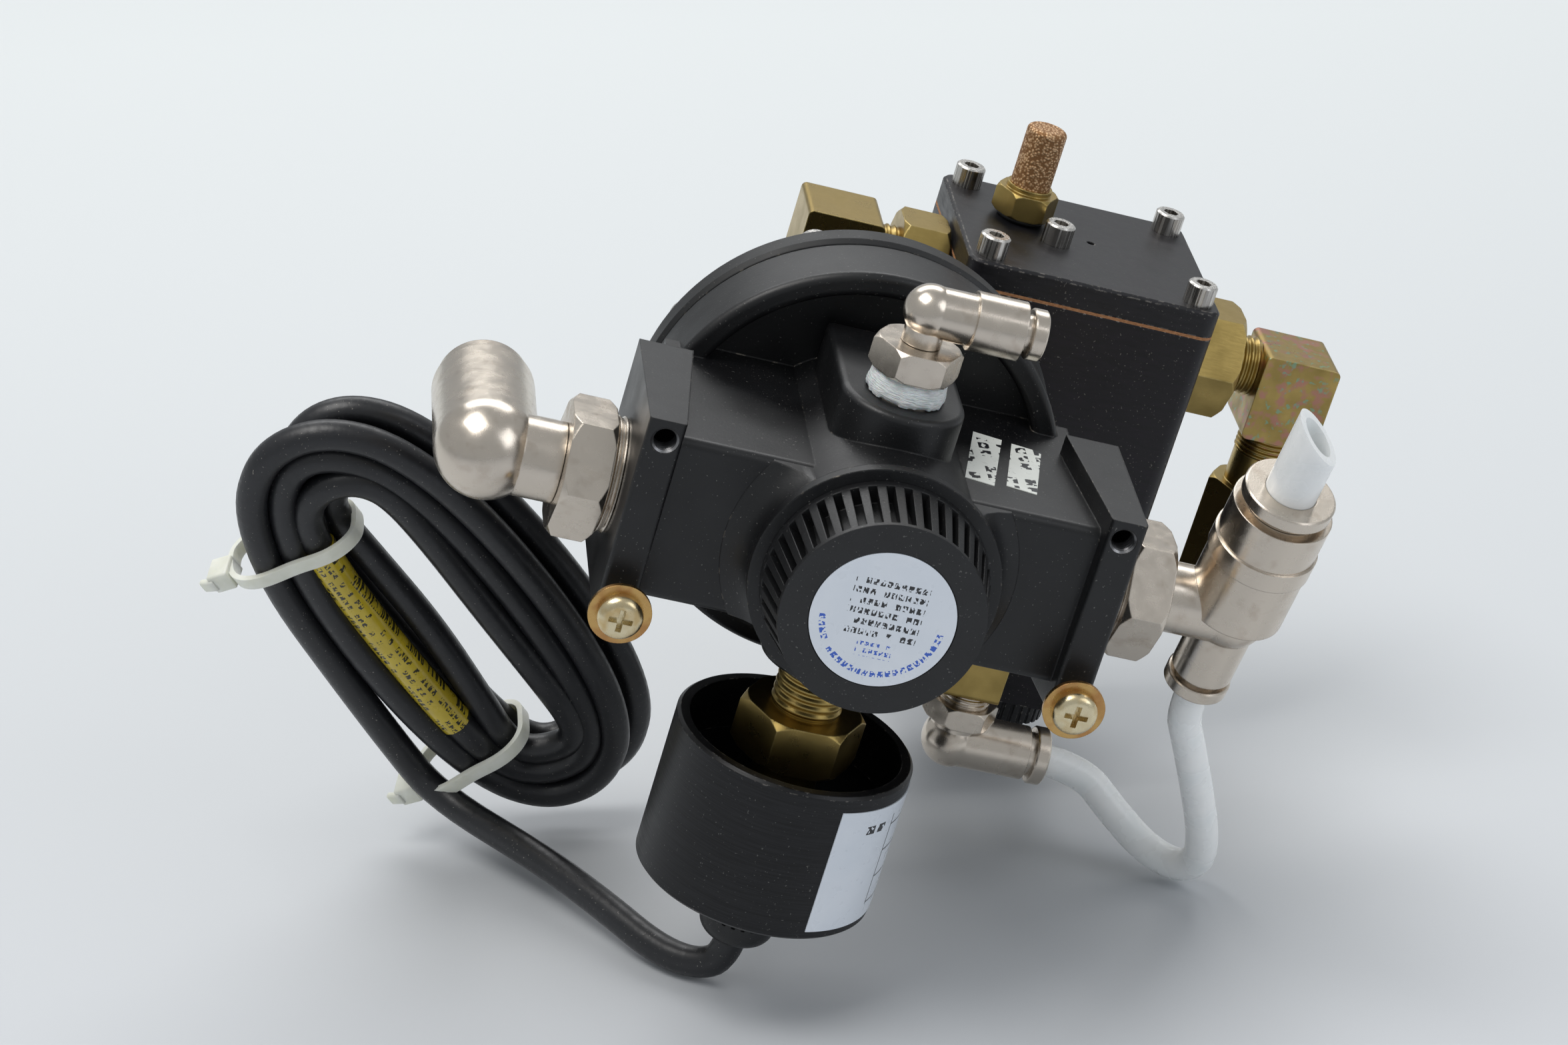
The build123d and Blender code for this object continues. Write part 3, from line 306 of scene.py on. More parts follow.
def zincYellow(name, colour, shade):
    # Yellow chromate passivation: straw colour with rosy and greenish bands
    finish, tree, shader, at = startFinish(name, Metallic=1.0)
    bands = blotches(tree, at, 3.0, 0.4, 0.65, 2.0)
    join(tree, {
        "Base Color": blend(tree, bands, colour, shade),
        "Roughness": between(tree, blotches(tree, at, 1.5, 0.3, 0.7), 0.2, 0.36),
        "Normal": relief(tree, blotches(tree, at, 0.9, 0.3, 0.7), 0.01, softEdge(tree, 0.25)),
    })
    return finish


def stainlessKnurled(name):
    # Stainless socket head: rolled ridges down the side, painted darker along the knurl as painted shade,
    # turned top
    finish, tree, shader, at = startFinish(name, Metallic=1.0)
    ridges = blotches(tree, at, 0.42, 0.42, 0.58, 0.0, (1.0, 1.0, 0.02))
    normal = addNode(tree, "NewGeometry").outputs["Normal"]
    axis = (sin(stance["lean"]), 0, cos(stance["lean"]))
    up = addNode(tree, "VectorMath", {0: normal, 1: axis}, operation="DOT_PRODUCT").outputs["Value"]
    side = sums(tree, "LESS_THAN", sums(tree, "ABSOLUTE", up), 0.3)
    knurlWithPaintedShade = sums(tree, "MULTIPLY", ridges, side)
    join(tree, {
        # The darker tone along the knurl is painted shade; the same mask also raises the knurl
        "Base Color": blend(tree, knurlWithPaintedShade, "#D2CFCA", "#A29E99"),
        "Roughness": between(tree, ridges, 0.34, 0.24),
        "Normal": relief(tree, knurlWithPaintedShade, 0.05, softEdge(tree, 0.25)),
    })
    return finish


def steelPlain(name):
    # Drawn spring and washer steel, lightly oiled
    finish, tree, shader, at = startFinish(name, Metallic=1.0)
    join(tree, {
        "Base Color": blend(tree, blotches(tree, at, 3.0, 0.3, 0.7), "#8F8F90", "#6A6A6C"),
        "Roughness": between(tree, blotches(tree, at, 1.0, 0.3, 0.7), 0.25, 0.4),
        "Normal": relief(tree, blotches(tree, at, 0.5, 0.3, 0.7), 0.006),
    })
    return finish


def nylonMoulded(name, colour, roughness=0.42):
    # Glass filled nylon: slightly sheened moulding with a fine spark texture
    finish, tree, shader, at = startFinish(name, IOR=1.53)
    dust = sums(tree, "MULTIPLY", dustSpecks(tree, at), 0.3)
    skin = blotches(tree, at, 0.4, 0.25, 0.75, 2.0)
    tone = blend(tree, blotches(tree, at, 7.0, 0.3, 0.7), colour, "#121315")
    join(tree, {
        "Base Color": blend(tree, dust, tone, dustTone),
        "Roughness": between(tree, skin, roughness - 0.05, roughness + 0.08),
        "Normal": relief(tree, skin, 0.012, softEdge(tree, 0.3)),
    })
    return finish


def rubberSoft(name):
    # Nitrile rubber with a dull bloom
    finish, tree, shader, at = startFinish(name, IOR=1.52)
    bloom = blotches(tree, at, 5.0, 0.4, 0.7)
    join(tree, {
        "Base Color": blend(tree, bloom, "#111213", "#232425"),
        "Roughness": between(tree, bloom, 0.5, 0.68),
        "Normal": relief(tree, blotches(tree, at, 0.3, 0.3, 0.7), 0.008),
    })
    return finish


def cableJacket(name):
    # Extruded PVC jacket: satin black, faint pulls along its length, lint
    finish, tree, shader, at = startFinish(name, upright=False, IOR=1.54)
    skin = blotches(tree, at, 1.1, 0.3, 0.7, 3.0)
    lint = sums(tree, "MULTIPLY", dustSpecks(tree, at, 0.4, 0.73), 0.5)
    tone = blend(tree, blotches(tree, at, 16.0, 0.3, 0.7), "#131417", "#1B1C20")
    join(tree, {
        "Base Color": blend(tree, lint, tone, "#A09C94"),
        "Roughness": between(tree, skin, 0.33, 0.45),
        "Normal": relief(tree, skin, 0.02),
    })
    return finish


def nylonTube(name):
    # Natural nylon tube: milky, light goes some way into the wall
    finish, tree, shader, at = startFinish(
        name, upright=False, IOR=1.53, Subsurface_Weight=0.35, Subsurface_Radius=(1.0, 1.0, 0.95),
        Subsurface_Scale=0.003)
    cloud = blotches(tree, at, 5.0, 0.3, 0.7)
    join(tree, {
        "Base Color": blend(tree, cloud, "#FAFCFB", "#F1F5F5"),
        "Roughness": between(tree, cloud, 0.22, 0.32),
        "Normal": relief(tree, blotches(tree, at, 1.6, 0.3, 0.7), 0.01),
    })
    return finish


def nylonTie(name):
    # Natural nylon 66 strap, slightly cream
    finish, tree, shader, at = startFinish(
        name, upright=False, IOR=1.53, Subsurface_Weight=0.4, Subsurface_Radius=(1.0, 0.95, 0.8),
        Subsurface_Scale=0.0015)
    join(tree, {
        "Base Color": blend(tree, blotches(tree, at, 4.0, 0.3, 0.7), "#ECEDE3", "#DFE0D2"),
        "Roughness": between(tree, blotches(tree, at, 1.0, 0.3, 0.7), 0.36, 0.5),
        "Normal": relief(tree, blotches(tree, at, 0.7, 0.3, 0.7), 0.02),
    })
    return finish


def controllerBlack(name, colour, violet):
    # Black dyed anodising that has turned slightly purple, on milled aluminium
    finish, tree, shader, at = startFinish(name, Metallic=0.25)
    worn = edgeWear(tree, at, 0.45, 1.1, 0.52, 0.6)
    mill = blotches(tree, at, 5.0, 0.35, 0.65, 3.0, (1.0, 1.0, 6.0))
    tone = blend(tree, mill, colour, violet)
    tone = blend(tree, sums(tree, "MULTIPLY", dustSpecks(tree, at), 0.3), tone, "#9A958C")
    join(tree, {
        "Base Color": blend(tree, worn, tone, "#A59F97"),
        "Roughness": between(tree, mill, 0.36, 0.47),
        "Normal": relief(tree, blotches(tree, at, 0.5, 0.3, 0.7), 0.006, softEdge(tree, 0.45)),
    })
    return finish


def kraftGasket(name):
    # Pressed fibre sheet, brown, seen on its cut edge
    finish, tree, shader, at = startFinish(name, IOR=1.45)
    fibre = blotches(tree, at, 0.6, 0.3, 0.7, 3.0, (1.0, 1.0, 4.0))
    join(tree, {
        "Base Color": blend(tree, fibre, "#B5835A", "#8A5C3A"),
        "Roughness": between(tree, fibre, 0.75, 0.9),
        "Normal": relief(tree, fibre, 0.04),
    })
    return finish


def bronzeSintered(name):
    # Bronze balls of about 0.5 mm sintered together, with painted shade darkening the gaps between them
    finish, tree, shader, at = startFinish(name, Metallic=0.7)
    balls = addNode(tree, "TexVoronoi", {"Vector": at, "Scale": 1 / 0.55, "Randomness": 1.0})
    height = addNode(tree, "MapRange", {
        "Value": balls.outputs["Distance"], "From Min": 0.62, "From Max": 0.05}).outputs["Result"]
    join(tree, {
        # The dark colour low between the balls is painted shade
        "Base Color": blend(tree, height, "#8A6440", "#EBC69C"),
        "Roughness": between(tree, height, 0.6, 0.33),
        "Normal": relief(tree, height, 0.12),
    })
    return finish


def tapeWhite(name):
    # Thread sealing tape, rolled on and torn: matt white film with pulled strands
    finish, tree, shader, at = startFinish(name, IOR=1.38, Subsurface_Weight=0.3, Subsurface_Scale=0.0008)
    pull = blotches(tree, at, 1.5, 0.3, 0.7, 4.0, (1.0, 1.0, 7.0))
    join(tree, {
        "Base Color": blend(tree, pull, "#EEF1F1", "#C9CFD0"),
        "Roughness": between(tree, pull, 0.4, 0.6),
        "Normal": relief(tree, pull, 0.12),
    })
    return finish


def boardGreen(name):
    # Solder mask over copper on glass fibre
    finish, tree, shader, at = startFinish(name, IOR=1.5, Coat_Weight=0.3)
    copper = blotches(tree, at, 1.2, 0.5, 0.52, 1.0)
    join(tree, {
        "Base Color": blend(tree, copper, "#1E5B34", "#2B7446"),
        "Roughness": between(tree, copper, 0.4, 0.3),
        "Normal": relief(tree, copper, 0.03),
    })
    return finish


def labelVinyl(name, ink, rows):
    # Printed white vinyl, glossy, with meaningless marks for print; rows gives each mask with its colour
    finish, tree, shader, at = startFinish(name, IOR=1.5, Coat_Weight=0.3, Coat_Roughness=0.1)
    place = addNode(tree, "SeparateXYZ", {0: at})
    colour = blend(tree, blotches(tree, at, 9.0, 0.3, 0.7), ink["ground"], ink["shade"])
    for mask, tone in rows(tree, *place.outputs):
        colour = blend(tree, mask, colour, tone)
    join(tree, {
        "Base Color": colour,
        "Roughness": between(tree, blotches(tree, at, 2.0, 0.3, 0.7), 0.26, 0.34),
        "Normal": relief(tree, blotches(tree, at, 0.8, 0.3, 0.7), 0.004),
    })
    return finish


inks = {"ground": "#E2E8F0", "shade": "#DCE3EC", "black": "#232428", "blue": "#3560C4"}
capPrint = {
    "dark": {"span": (-4.2, 7.4), "half": 6.6, "mark": 1.25, "pitch": 1.93, "empty": 0.2},
    "small": {"span": (-7.4, -4.6), "half": 3.2, "mark": 0.95, "pitch": 1.4, "empty": 0.1},
    "arc": {"radius": 10.6, "half": 0.95, "turn": (-3.05, -0.05), "mark": 1.35, "empty": 0.06},
}


def capBlock(tree, x, z, side, rows):
    # One block of rows, as wide as twice half and as high as span
    area = both(tree, within(tree, z, *rows["span"]), sums(tree, "LESS_THAN", side, rows["half"]))
    return both(tree, printRows(tree, x, z, rows["mark"], rows["pitch"], rows["empty"]), area)


def capRows(tree, x, y, z):
    # Six dark rows, two short blue rows below them and a blue arc of marks round the lower edge
    ring = sums(tree, "SQRT", sums(tree, "ADD", both(tree, x, x), both(tree, z, z)))
    turn = sums(tree, "ARCTAN2", z, x)
    side = sums(tree, "ABSOLUTE", x)
    dark = capBlock(tree, x, z, side, capPrint["dark"])
    small = capBlock(tree, x, z, side, capPrint["small"])
    arc = capPrint["arc"]
    rim = within(tree, ring, arc["radius"] - arc["half"], arc["radius"] + arc["half"])
    rim = both(tree, rim, within(tree, turn, *arc["turn"]))
    along = sums(tree, "MULTIPLY", turn, arc["radius"])
    marks = printRows(tree, along, ring, arc["mark"], 2 * arc["half"], arc["empty"])
    return ((both(tree, marks, rim), inks["blue"]), (small, inks["blue"]), (dark, inks["black"]))


platePrint = {
    "radius": 22.4, "columns": ((12.7, 13.0), (7.0, 7.25)), "rowPitch": 5.6, "rule": 0.06,
    "span": (-67.5, -48.0),
    "marks": {"along": (15.0, 21.0), "span": (-50.6, -47.2), "width": 3.0, "pitch": 4.0},
}


def plateRows(tree, x, y, z):
    # A table of thin ruled lines with a few marks, on the round side of the transducer
    turn = sums(tree, "ARCTAN2", sums(tree, "MULTIPLY", y, -1.0), x)
    along = sums(tree, "MULTIPLY", turn, platePrint["radius"])
    outer, inner = platePrint["columns"]
    table = sums(tree, "LESS_THAN", along, outer[1])
    rowPart = sums(tree, "FRACT", sums(tree, "DIVIDE", z, platePrint["rowPitch"]))
    ruled = both(tree, sums(tree, "LESS_THAN", rowPart, platePrint["rule"]), table)
    columns = sums(tree, "MAXIMUM", within(tree, along, *outer), within(tree, along, *inner))
    lines = both(tree, sums(tree, "MAXIMUM", ruled, columns), within(tree, z, *platePrint["span"]))
    marks = platePrint["marks"]
    area = both(tree, within(tree, along, *marks["along"]), within(tree, z, *marks["span"]))
    printed = both(tree, area, printRows(tree, along, z, marks["width"], marks["pitch"], 0.0))
    return ((lines, inks["black"]), (printed, inks["black"]))


stickerPrint = {"slant": 0.2, "mark": 3.4, "pitch": 3.6, "empty": 0.12, "span": (-3.5, 15.5)}


def stickerRows(tree, x, y, z):
    # Rows of large marks down the sticker, on its cream ground
    along = sums(tree, "SUBTRACT", y, sums(tree, "MULTIPLY", x, stickerPrint["slant"]))
    marks = printRows(tree, along, x, stickerPrint["mark"], stickerPrint["pitch"], stickerPrint["empty"])
    return ((both(tree, marks, within(tree, y, *stickerPrint["span"])), inks["black"]),)


def sleeveVinyl(name):
    # Yellow marker sleeve over the cable, with dark rows of meaningless marks along it
    finish, tree, shader, at = startFinish(name, upright=False, IOR=1.5, Coat_Weight=0.5, Coat_Roughness=0.12)
    along, across = (
        addNode(tree, "VectorMath", {0: at, 1: tuple(axis)}, operation="DOT_PRODUCT").outputs["Value"]
        for axis in coilAxes()[:2])
    marks = printRows(tree, along, across, 1.3, 1.7, 0.3)
    colour = blend(tree, blotches(tree, at, 5.0, 0.3, 0.7), "#CDB52C", "#B59E24")
    join(tree, {
        "Base Color": blend(tree, marks, colour, "#2A2812"),
        "Roughness": between(tree, blotches(tree, at, 2.0, 0.3, 0.7), 0.24, 0.36),
        "Normal": relief(tree, blotches(tree, at, 1.2, 0.3, 0.7), 0.02),
    })
    return finish


finishes = {
    "cast_black": castPaint("die_cast_zinc_satin_black_paint", "#09090B", 0.4, (0.6, 0.68)),
    "cast_black_back": castPaint("die_cast_zinc_matt_black_paint", "#0C0D0F", 0.5, (0.62, 0.7)),
    "steel_screw": stainlessKnurled("stainless_steel_knurled"),
    "rubber_black": rubberSoft("nitrile_rubber_moulded"),
    "turned_aluminium": anodisedTurned("aluminium_turned_clear", "#C9CBCD"),
    "brass": brassTurned("brass_turned_tarnished"),
    "spring_steel": steelPlain("spring_steel_drawn"),
    "moulded_black": nylonMoulded("glass_filled_nylon_black", "#0A0A0C"),
    "zinc_yellow": zincYellow("zinc_plate_yellow_washer", "#C9A468", "#B88A58"),
    "zinc_yellow_screw": zincYellow("zinc_plate_yellow_screw", "#E0D3B0", "#CDB585"),
    "nickel": nickelBlasted("nickel_plate_blasted_brass"),
    "nylon_tube": nylonTube("nylon_tube_natural"),
    "tape_white": tapeWhite("ptfe_tape_wound"),
    "anodised_black": anodisedTurned("aluminium_anodised_black_turned", "#0A0A0C"),
    "board_green": boardGreen("glass_epoxy_board_masked"),
    "cable_black": cableJacket("pvc_cable_jacket_extruded"),
    "nylon_white": nylonTie("nylon_tie_moulded"),
    "controller_black": controllerBlack("aluminium_anodised_controller", "#0C0B0E", "#161219"),
    "kraft_gasket": kraftGasket("fibre_gasket_cut"),
    "cover_black": controllerBlack("aluminium_anodised_cover", "#131316", "#1C1B1F"),
    "sintered_bronze": bronzeSintered("bronze_sintered_balls"),
    "connector_grey": nylonMoulded("nylon_connector_grey", "#3A3B3D", 0.5),
    "label_white": labelVinyl("vinyl_label_printed", inks, capRows),
}
plateVinyl = labelVinyl("vinyl_label_ruled", inks, plateRows)
stickerPaper = labelVinyl("paper_sticker_printed", {"ground": "#EEF0EA", "shade": "#E4E7E0"}, stickerRows)
sleeveYellow = sleeveVinyl("vinyl_sleeve_yellow")
brassBloomed = brassTurned("brass_turned_bloomed", 0.5, 0.75)
brassBright = brassTurned("brass_turned_bright", 0.25)
print("finishes made:", len(finishes))


def setFinish(piece, finish):
    piece.data.materials.clear()
    piece.data.materials.append(finish)


slotOf = {s["node"]: s["material_slot"] for s in frame["record"]["subparts"]}
for nodeName, node in nodes.items():
    setFinish(node, finishes[slotOf[nodeName]])
setFinish(nodes["transducer_label"], plateVinyl)
setFinish(nodes["right_elbow"], brassBloomed)
for nodeName in ("transducer_nipple", "line_filter"):
    setFinish(nodes[nodeName], brassBright)

makeCamera()
makeLights()
print("camera and softboxes placed")


# Floor
# The floor's near colour is darker than its far colour: painted shade for the light's falloff
floorSheet = {"size": 6.0, "near": "#C3C6CB", "far": "#D9DDDE", "paintedFalloff": (-0.2, 0.5), "roughness": 0.6}


def makeFloor():
    form = bmesh.new()
    bmesh.ops.create_grid(form, x_segments=1, y_segments=1, size=floorSheet["size"] / 2)
    mesh = bpy.data.meshes.new("studio_floor")
    form.to_mesh(mesh)
    form.free()
    floor = bpy.data.objects.new("studio_floor", mesh)
    bpy.context.scene.collection.objects.link(floor)
    # Matt painted card, its colour painted darker towards the front as painted shade where less light reaches
    finish = bpy.data.materials.new("card_background_pale")
    finish.use_nodes = True
    tree = finish.node_tree
    at = addNode(tree, "TexCoord").outputs["Object"]
    depth = addNode(tree, "SeparateXYZ", {0: at}).outputs["Y"]
    near, far = floorSheet["paintedFalloff"]
    paintedFalloff = addNode(tree, "MapRange", {"Value": depth, "From Min": near, "From Max": far}).outputs["Result"]
    join(tree, {"Base Color": blend(tree, paintedFalloff, floorSheet["near"], floorSheet["far"])})
    tree.nodes["Principled BSDF"].inputs["Roughness"].default_value = floorSheet["roughness"]
    setFinish(floor, finish)


makeFloor()


# Helpers for new pieces
weldDistance = 0.00001
cordDetail = 6


def keepPiece(form, name, slotName, finish=None, angle=35.0):
    # Turns a bmesh in the row frame into an object that rides on the fixed body
    bmesh.ops.remove_doubles(form, verts=form.verts, dist=weldDistance)
    bmesh.ops.recalc_face_normals(form, faces=form.faces)
    for face in form.faces:
        face.smooth = True
    for edge in form.edges:
        edge.smooth = not (len(edge.link_faces) == 2 and edge.calc_face_angle(0.0) > radians(angle))
    mesh = bpy.data.meshes.new(name)
    form.to_mesh(mesh)
    form.free()
    piece = bpy.data.objects.new(name, mesh)
    bpy.context.scene.collection.objects.link(piece)
    setFinish(piece, finish or finishes[slotName])
    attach(piece, "root")
    return piece


def spunForm(outline, steps, closed=False):
    # Spins points (radius, height) about Z
    form = bmesh.new()
    points = [form.verts.new((r, 0, z)) for r, z in outline]
    loop = points + points[:1] if closed else points
    edges = [form.edges.new(pair) for pair in zip(loop, loop[1:])]
    bmesh.ops.spin(
        form, geom=points + edges, axis=(0, 0, 1), cent=(0, 0, 0), angle=2 * pi, steps=steps, use_merge=True)
    return form


def cordCurve(name, points, diameter, detail=cordDetail):
    data = bpy.data.curves.new(name, "CURVE")
    data.dimensions, data.resolution_u, data.render_resolution_u = "3D", detail, detail
    data.bevel_depth, data.bevel_resolution, data.use_fill_caps = diameter / 2, 5, True
    line = data.splines.new("NURBS")
    line.points.add(len(points) - 1)
    for point, place in zip(line.points, points):
        point.co = (*place, 1.0)
    line.order_u = 3
    line.use_endpoint_u = True
    cord = bpy.data.objects.new(name, data)
    bpy.context.scene.collection.objects.link(cord)
    return cord


def lineOf(cord):
    # The cord's own centreline as points, read from its spline without its thickness
    bare = cord.copy()
    bare.data = cord.data.copy()
    bare.data.bevel_depth = 0.0
    bpy.context.scene.collection.objects.link(bare)
    bpy.context.view_layer.update()
    mesh = bpy.data.meshes.new_from_object(bare.evaluated_get(bpy.context.evaluated_depsgraph_get()))
    points = [v.co.copy() for v in mesh.vertices]
    bpy.data.objects.remove(bare)
    return points


def lengthOf(points):
    return sum((b - a).length for a, b in zip(points, points[1:]))


# Transducer cable and its tied coil
coil = {
    "straight": 31.5, "blunt": 1.5, "outer": 23.4, "inner": 5.6, "roundEnd": 15.0,
    "turnsEach": 3, "perTurn": 16, "front": 3.4, "back": -3.4, "backShift": 3.0,
    "crossing": 3.5, "fan": 1.6, "wander": 0.5, "sway": 0.5, "waver": 0.4,
}
cable = {"diameter": 0.006, "lead": [
    placed(0, 0, -83.1), Vector((-39.1, -37.6, 6.2)) * mm, Vector((-43.7, -36.6, 3.3)) * mm,
    Vector((-51.5, -31.0, 3.5)) * mm, Vector((-61.1, -18.0, 6.2)) * mm, Vector((-71.6, -3.8, 8.0)) * mm],
    "joining": ((36, -25, 3.5), (18, -24.4, 3.5))}


def coilPlace(u, v, n):
    # u down the long axis, v across it to the right, n out of the coil towards the front
    along, across, out = coilAxes()
    return (coilPlane["centre"] + along * u + across * v + out * n) * mm


def coilTurns():
    # A front layer wound inwards, then a back layer wound outwards that sits a little to the right
    points = []
    last = coil["turnsEach"] * coil["perTurn"]
    for step in range(2 * last + 1):
        turn = step / coil["perTurn"]
        angle = 2 * pi * turn
        back = 0.5 + 0.5 * tanh(coil["crossing"] * (turn - coil["turnsEach"]))
        reach = coil["outer"] + (coil["inner"] - coil["outer"]) * (1 - abs(step / last - 1))
        fan = (coil["fan"] - back) * (reach / coil["outer"]) * sin(angle) + coil["wander"] * sin(2.7 * angle)
        length = coil["straight"] * tanh(coil["blunt"] * sin(angle)) / tanh(coil["blunt"])
        wide = reach + max(0.0, coil["roundEnd"] - reach) * sin(angle) ** 2
        height = coil["front"] + (coil["back"] - coil["front"]) * back
        height += coil["sway"] * sin(angle * 0.5) + coil["waver"] * sin(3 * angle + turn)
        points.append(coilPlace(
            -length - (reach + fan) * sin(angle), -wide * cos(angle) + coil["backShift"] * back, height))
    return points


cablePoints = cable["lead"] + [coilPlace(*spot) for spot in cable["joining"]] + coilTurns()
cableCord = cordCurve("sensor_cable", cablePoints, cable["diameter"])
setFinish(cableCord, finishes["cable_black"])
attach(cableCord, "root")
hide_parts("sensor_cable_lead", "sensor_cable_coil")
cableLine = lineOf(cableCord)
print("sensor cable length", round(lengthOf(cableLine), 3))

# Marker sleeve on the third turn and the two ties
sleeve = {"name": "cable_marker_sleeve", "radius": 3.35, "fromTurn": 1.985, "toTurn": 2.165}


def makeSleeve():
    # Follows the cable's own line between two points of its third turn
    first = len(cable["lead"]) + len(cable["joining"]) - 1
    limits = (sleeve["fromTurn"], sleeve["toTurn"])
    low, high = (round((first + turn * coil["perTurn"]) * cordDetail) for turn in limits)
    data = bpy.data.curves.new(sleeve["name"], "CURVE")
    data.dimensions, data.bevel_depth, data.bevel_resolution = "3D", sleeve["radius"] * mm, 6
    data.use_fill_caps = True
    line = data.splines.new("POLY")
    places = cableLine[low:high]
    line.points.add(len(places) - 1)
    for point, place in zip(line.points, places):
        point.co = (*place, 1.0)
    piece = bpy.data.objects.new(sleeve["name"], data)
    bpy.context.scene.collection.objects.link(piece)
    setFinish(piece, sleeveYellow)
    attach(piece, "root")
    return piece


ties = {
    "middle": -14.4, "halfWide": 13.2, "halfThick": 7.9, "width": 2.7, "thick": 1.1, "points": 72,
    "squareness": 3.2, "ripple": 0.03, "ripples": 6, "rounding": 0.45,
    "head": {"size": (4.6, 5.2, 4.4), "off": 1.6, "out": 1.0, "turned": 0.25},
    "tail": {"size": (3.4, 1.3), "off": 1.0, "out": 2.3, "turned": 0.5},
    "upper": {"place": -31.0, "lean": 1.6}, "lower": {"place": 32.0, "lean": -1.2},
}


def makeTie(name, node, spot):
    # Band round the outer limb: a squared loop in the coil's cross section, with head and cut tail
    across, out = coilPlace(0, 1, 0) - coilPlace(0, 0, 0), coilPlace(0, 0, 1) - coilPlace(0, 0, 0)
    along = coilPlace(1, 0, 0) - coilPlace(0, 0, 0)
    toCoil = Matrix((across, out, along)).transposed().to_4x4()
    toCoil = Matrix.Translation(coilPlace(spot["place"], ties["middle"], 0)) @ toCoil
    form = bmesh.new()
    bmesh.ops.create_circle(form, segments=ties["points"], radius=1.0)
    for vert in form.verts:
        turn = vert.co.to_2d().normalized()
        power = ties["squareness"]
        square = (abs(turn.x) ** power + abs(turn.y) ** power) ** (-1 / power)
        ripple = 1 + ties["ripple"] * cos(ties["ripples"] * turn.angle_signed(Vector((1, 0))))
        vert.co = Vector((
            turn.x * square * ties["halfWide"], turn.y * square * ties["halfThick"] * ripple,
            spot["lean"] * turn.x - ties["width"] / 2))
    raised = bmesh.ops.extrude_edge_only(form, edges=form.edges[:])
    farEdge = [v for v in raised["geom"] if isinstance(v, bmesh.types.BMVert)]
    bmesh.ops.translate(form, verts=farEdge, vec=(0, 0, ties["width"]))
    bmesh.ops.recalc_face_normals(form, faces=form.faces)
    bmesh.ops.solidify(form, geom=form.faces[:], thickness=ties["thick"])
    head, tail = ties["head"], ties["tail"]
    headAt = -ties["halfWide"] - head["off"]
    tailAt = headAt - head["size"][0] / 2 - tail["off"]
    for size, x, part in (
            (head["size"], headAt, head),
            ((*tail["size"], ties["width"]), tailAt, tail)):
        block = bmesh.ops.create_cube(form, size=1.0)["verts"]
        bmesh.ops.scale(form, verts=block, vec=size)
        edges = list({e for v in block for e in v.link_edges})
        rounded = bmesh.ops.bevel(
            form, geom=edges, offset=ties["rounding"], segments=3, profile=0.5, affect="EDGES", material=-1)
        block = list({v for f in rounded["faces"] for v in f.verts} | {v for v in block if v.is_valid})
        bmesh.ops.rotate(form, verts=block, cent=(0, 0, 0), matrix=Matrix.Rotation(part["turned"], 3, "Z"))
        bmesh.ops.translate(form, verts=block, vec=(x, part["out"], -spot["lean"]))
    bmesh.ops.transform(form, matrix=toCoil, verts=form.verts)
    piece = keepPiece(form, name, "nylon_white")
    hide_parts(node)
    return piece


sleevePiece = makeSleeve()
tiePieces = [
    makeTie("tie_band_upper", "cable_tie_upper", ties["upper"]),
    makeTie("tie_band_lower", "cable_tie_lower", ties["lower"])]
print("sleeve and ties made")

# Pilot air hose
tee = {"x": 70, "slant": radians(17)}


def onTee(distance):
    # That far down the lower branch of the tee, from its middle
    return placed(tee["x"], distance * sin(tee["slant"]), -distance * cos(tee["slant"]))


hose = {"diameter": 0.00636, "detail": 12, "route": [
    onTee(9), onTee(26),
    Vector((48.5, -25.8, 40.5)) * mm, Vector((51.5, -21.0, 27.5)) * mm, Vector((53.9, -17.2, 15.4)) * mm,
    Vector((54.1, -13.5, 7.0)) * mm, Vector((50.7, -9.6, 3.6)) * mm, Vector((44.9, -5.2, 5.6)) * mm,
    Vector((39.3, -0.9, 11.4)) * mm, placed(65.4, 42, -57.6), placed(49.4, 42, -57.6)]}
hoseCord = cordCurve("pilot_hose", hose["route"], hose["diameter"], hose["detail"])
setFinish(hoseCord, finishes["nylon_tube"])
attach(hoseCord, "root")
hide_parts("pilot_air_hose")
print("pilot hose length", round(lengthOf(lineOf(hoseCord)), 3))

onTee(15)

# Threads, stickers, tape and the flare of the hub
standing = Matrix.Identity(4)
towardInlet, towardOutlet = Matrix.Rotation(pi / 2, 4, "Y"), Matrix.Rotation(-pi / 2, 4, "Y")
towardFront, towardBottom = Matrix.Rotation(pi / 2, 4, "X"), Matrix.Rotation(pi, 4, "X")
mainThread = {"at": (0, 0, 0), "crest": 10.5, "root": 10.0, "span": (45.1, 47.4), "pitch": 1.1}
sideThread = {"crest": 5.95, "root": 5.5, "pitch": 1.41}
holeThread = {
    "way": towardFront, "crest": 2.02, "root": 2.34, "core": 2.39, "span": (12.6, 16.8), "pitch": 0.8}
threads = {
    "nipple_thread": {
        "at": (0, 0, 0), "way": towardBottom, "span": (27.2, 36.3), "crest": 6.6, "root": 6.1, "pitch": 1.41},
    "filter_thread": {
        "at": (94.8, 88.0, 0), "way": towardBottom, "span": (-1.5, 3.4),
        "crest": 5.85, "root": 5.15, "pitch": 0.94},
    "feed_thread": {
        "at": (39.4, 42.0, 0), "way": towardBottom, "span": (46.6, 48.6),
        "crest": 5.15, "root": 4.65, "pitch": 0.94},
    "right_thread": {"at": (0, 88.0, 14.0), "way": towardInlet, "span": (81.8, 87.0), **sideThread},
    "left_thread": {"at": (0, 88.0, 19.6), "way": towardOutlet, "span": (-9.6, -5.8), **sideThread},
    "left_hole_thread": {"at": (-41.4, 0, 15.7), **holeThread},
    "right_hole_thread": {"at": (41.4, 0, 15.7), **holeThread},
    "inlet_thread": {"way": towardInlet, **mainThread},
    "outlet_thread": {"way": towardOutlet, **mainThread},
}
ridge = {"sink": 0.4, "run": 0.04, "flat": (0.42, 0.58), "steps": 64}
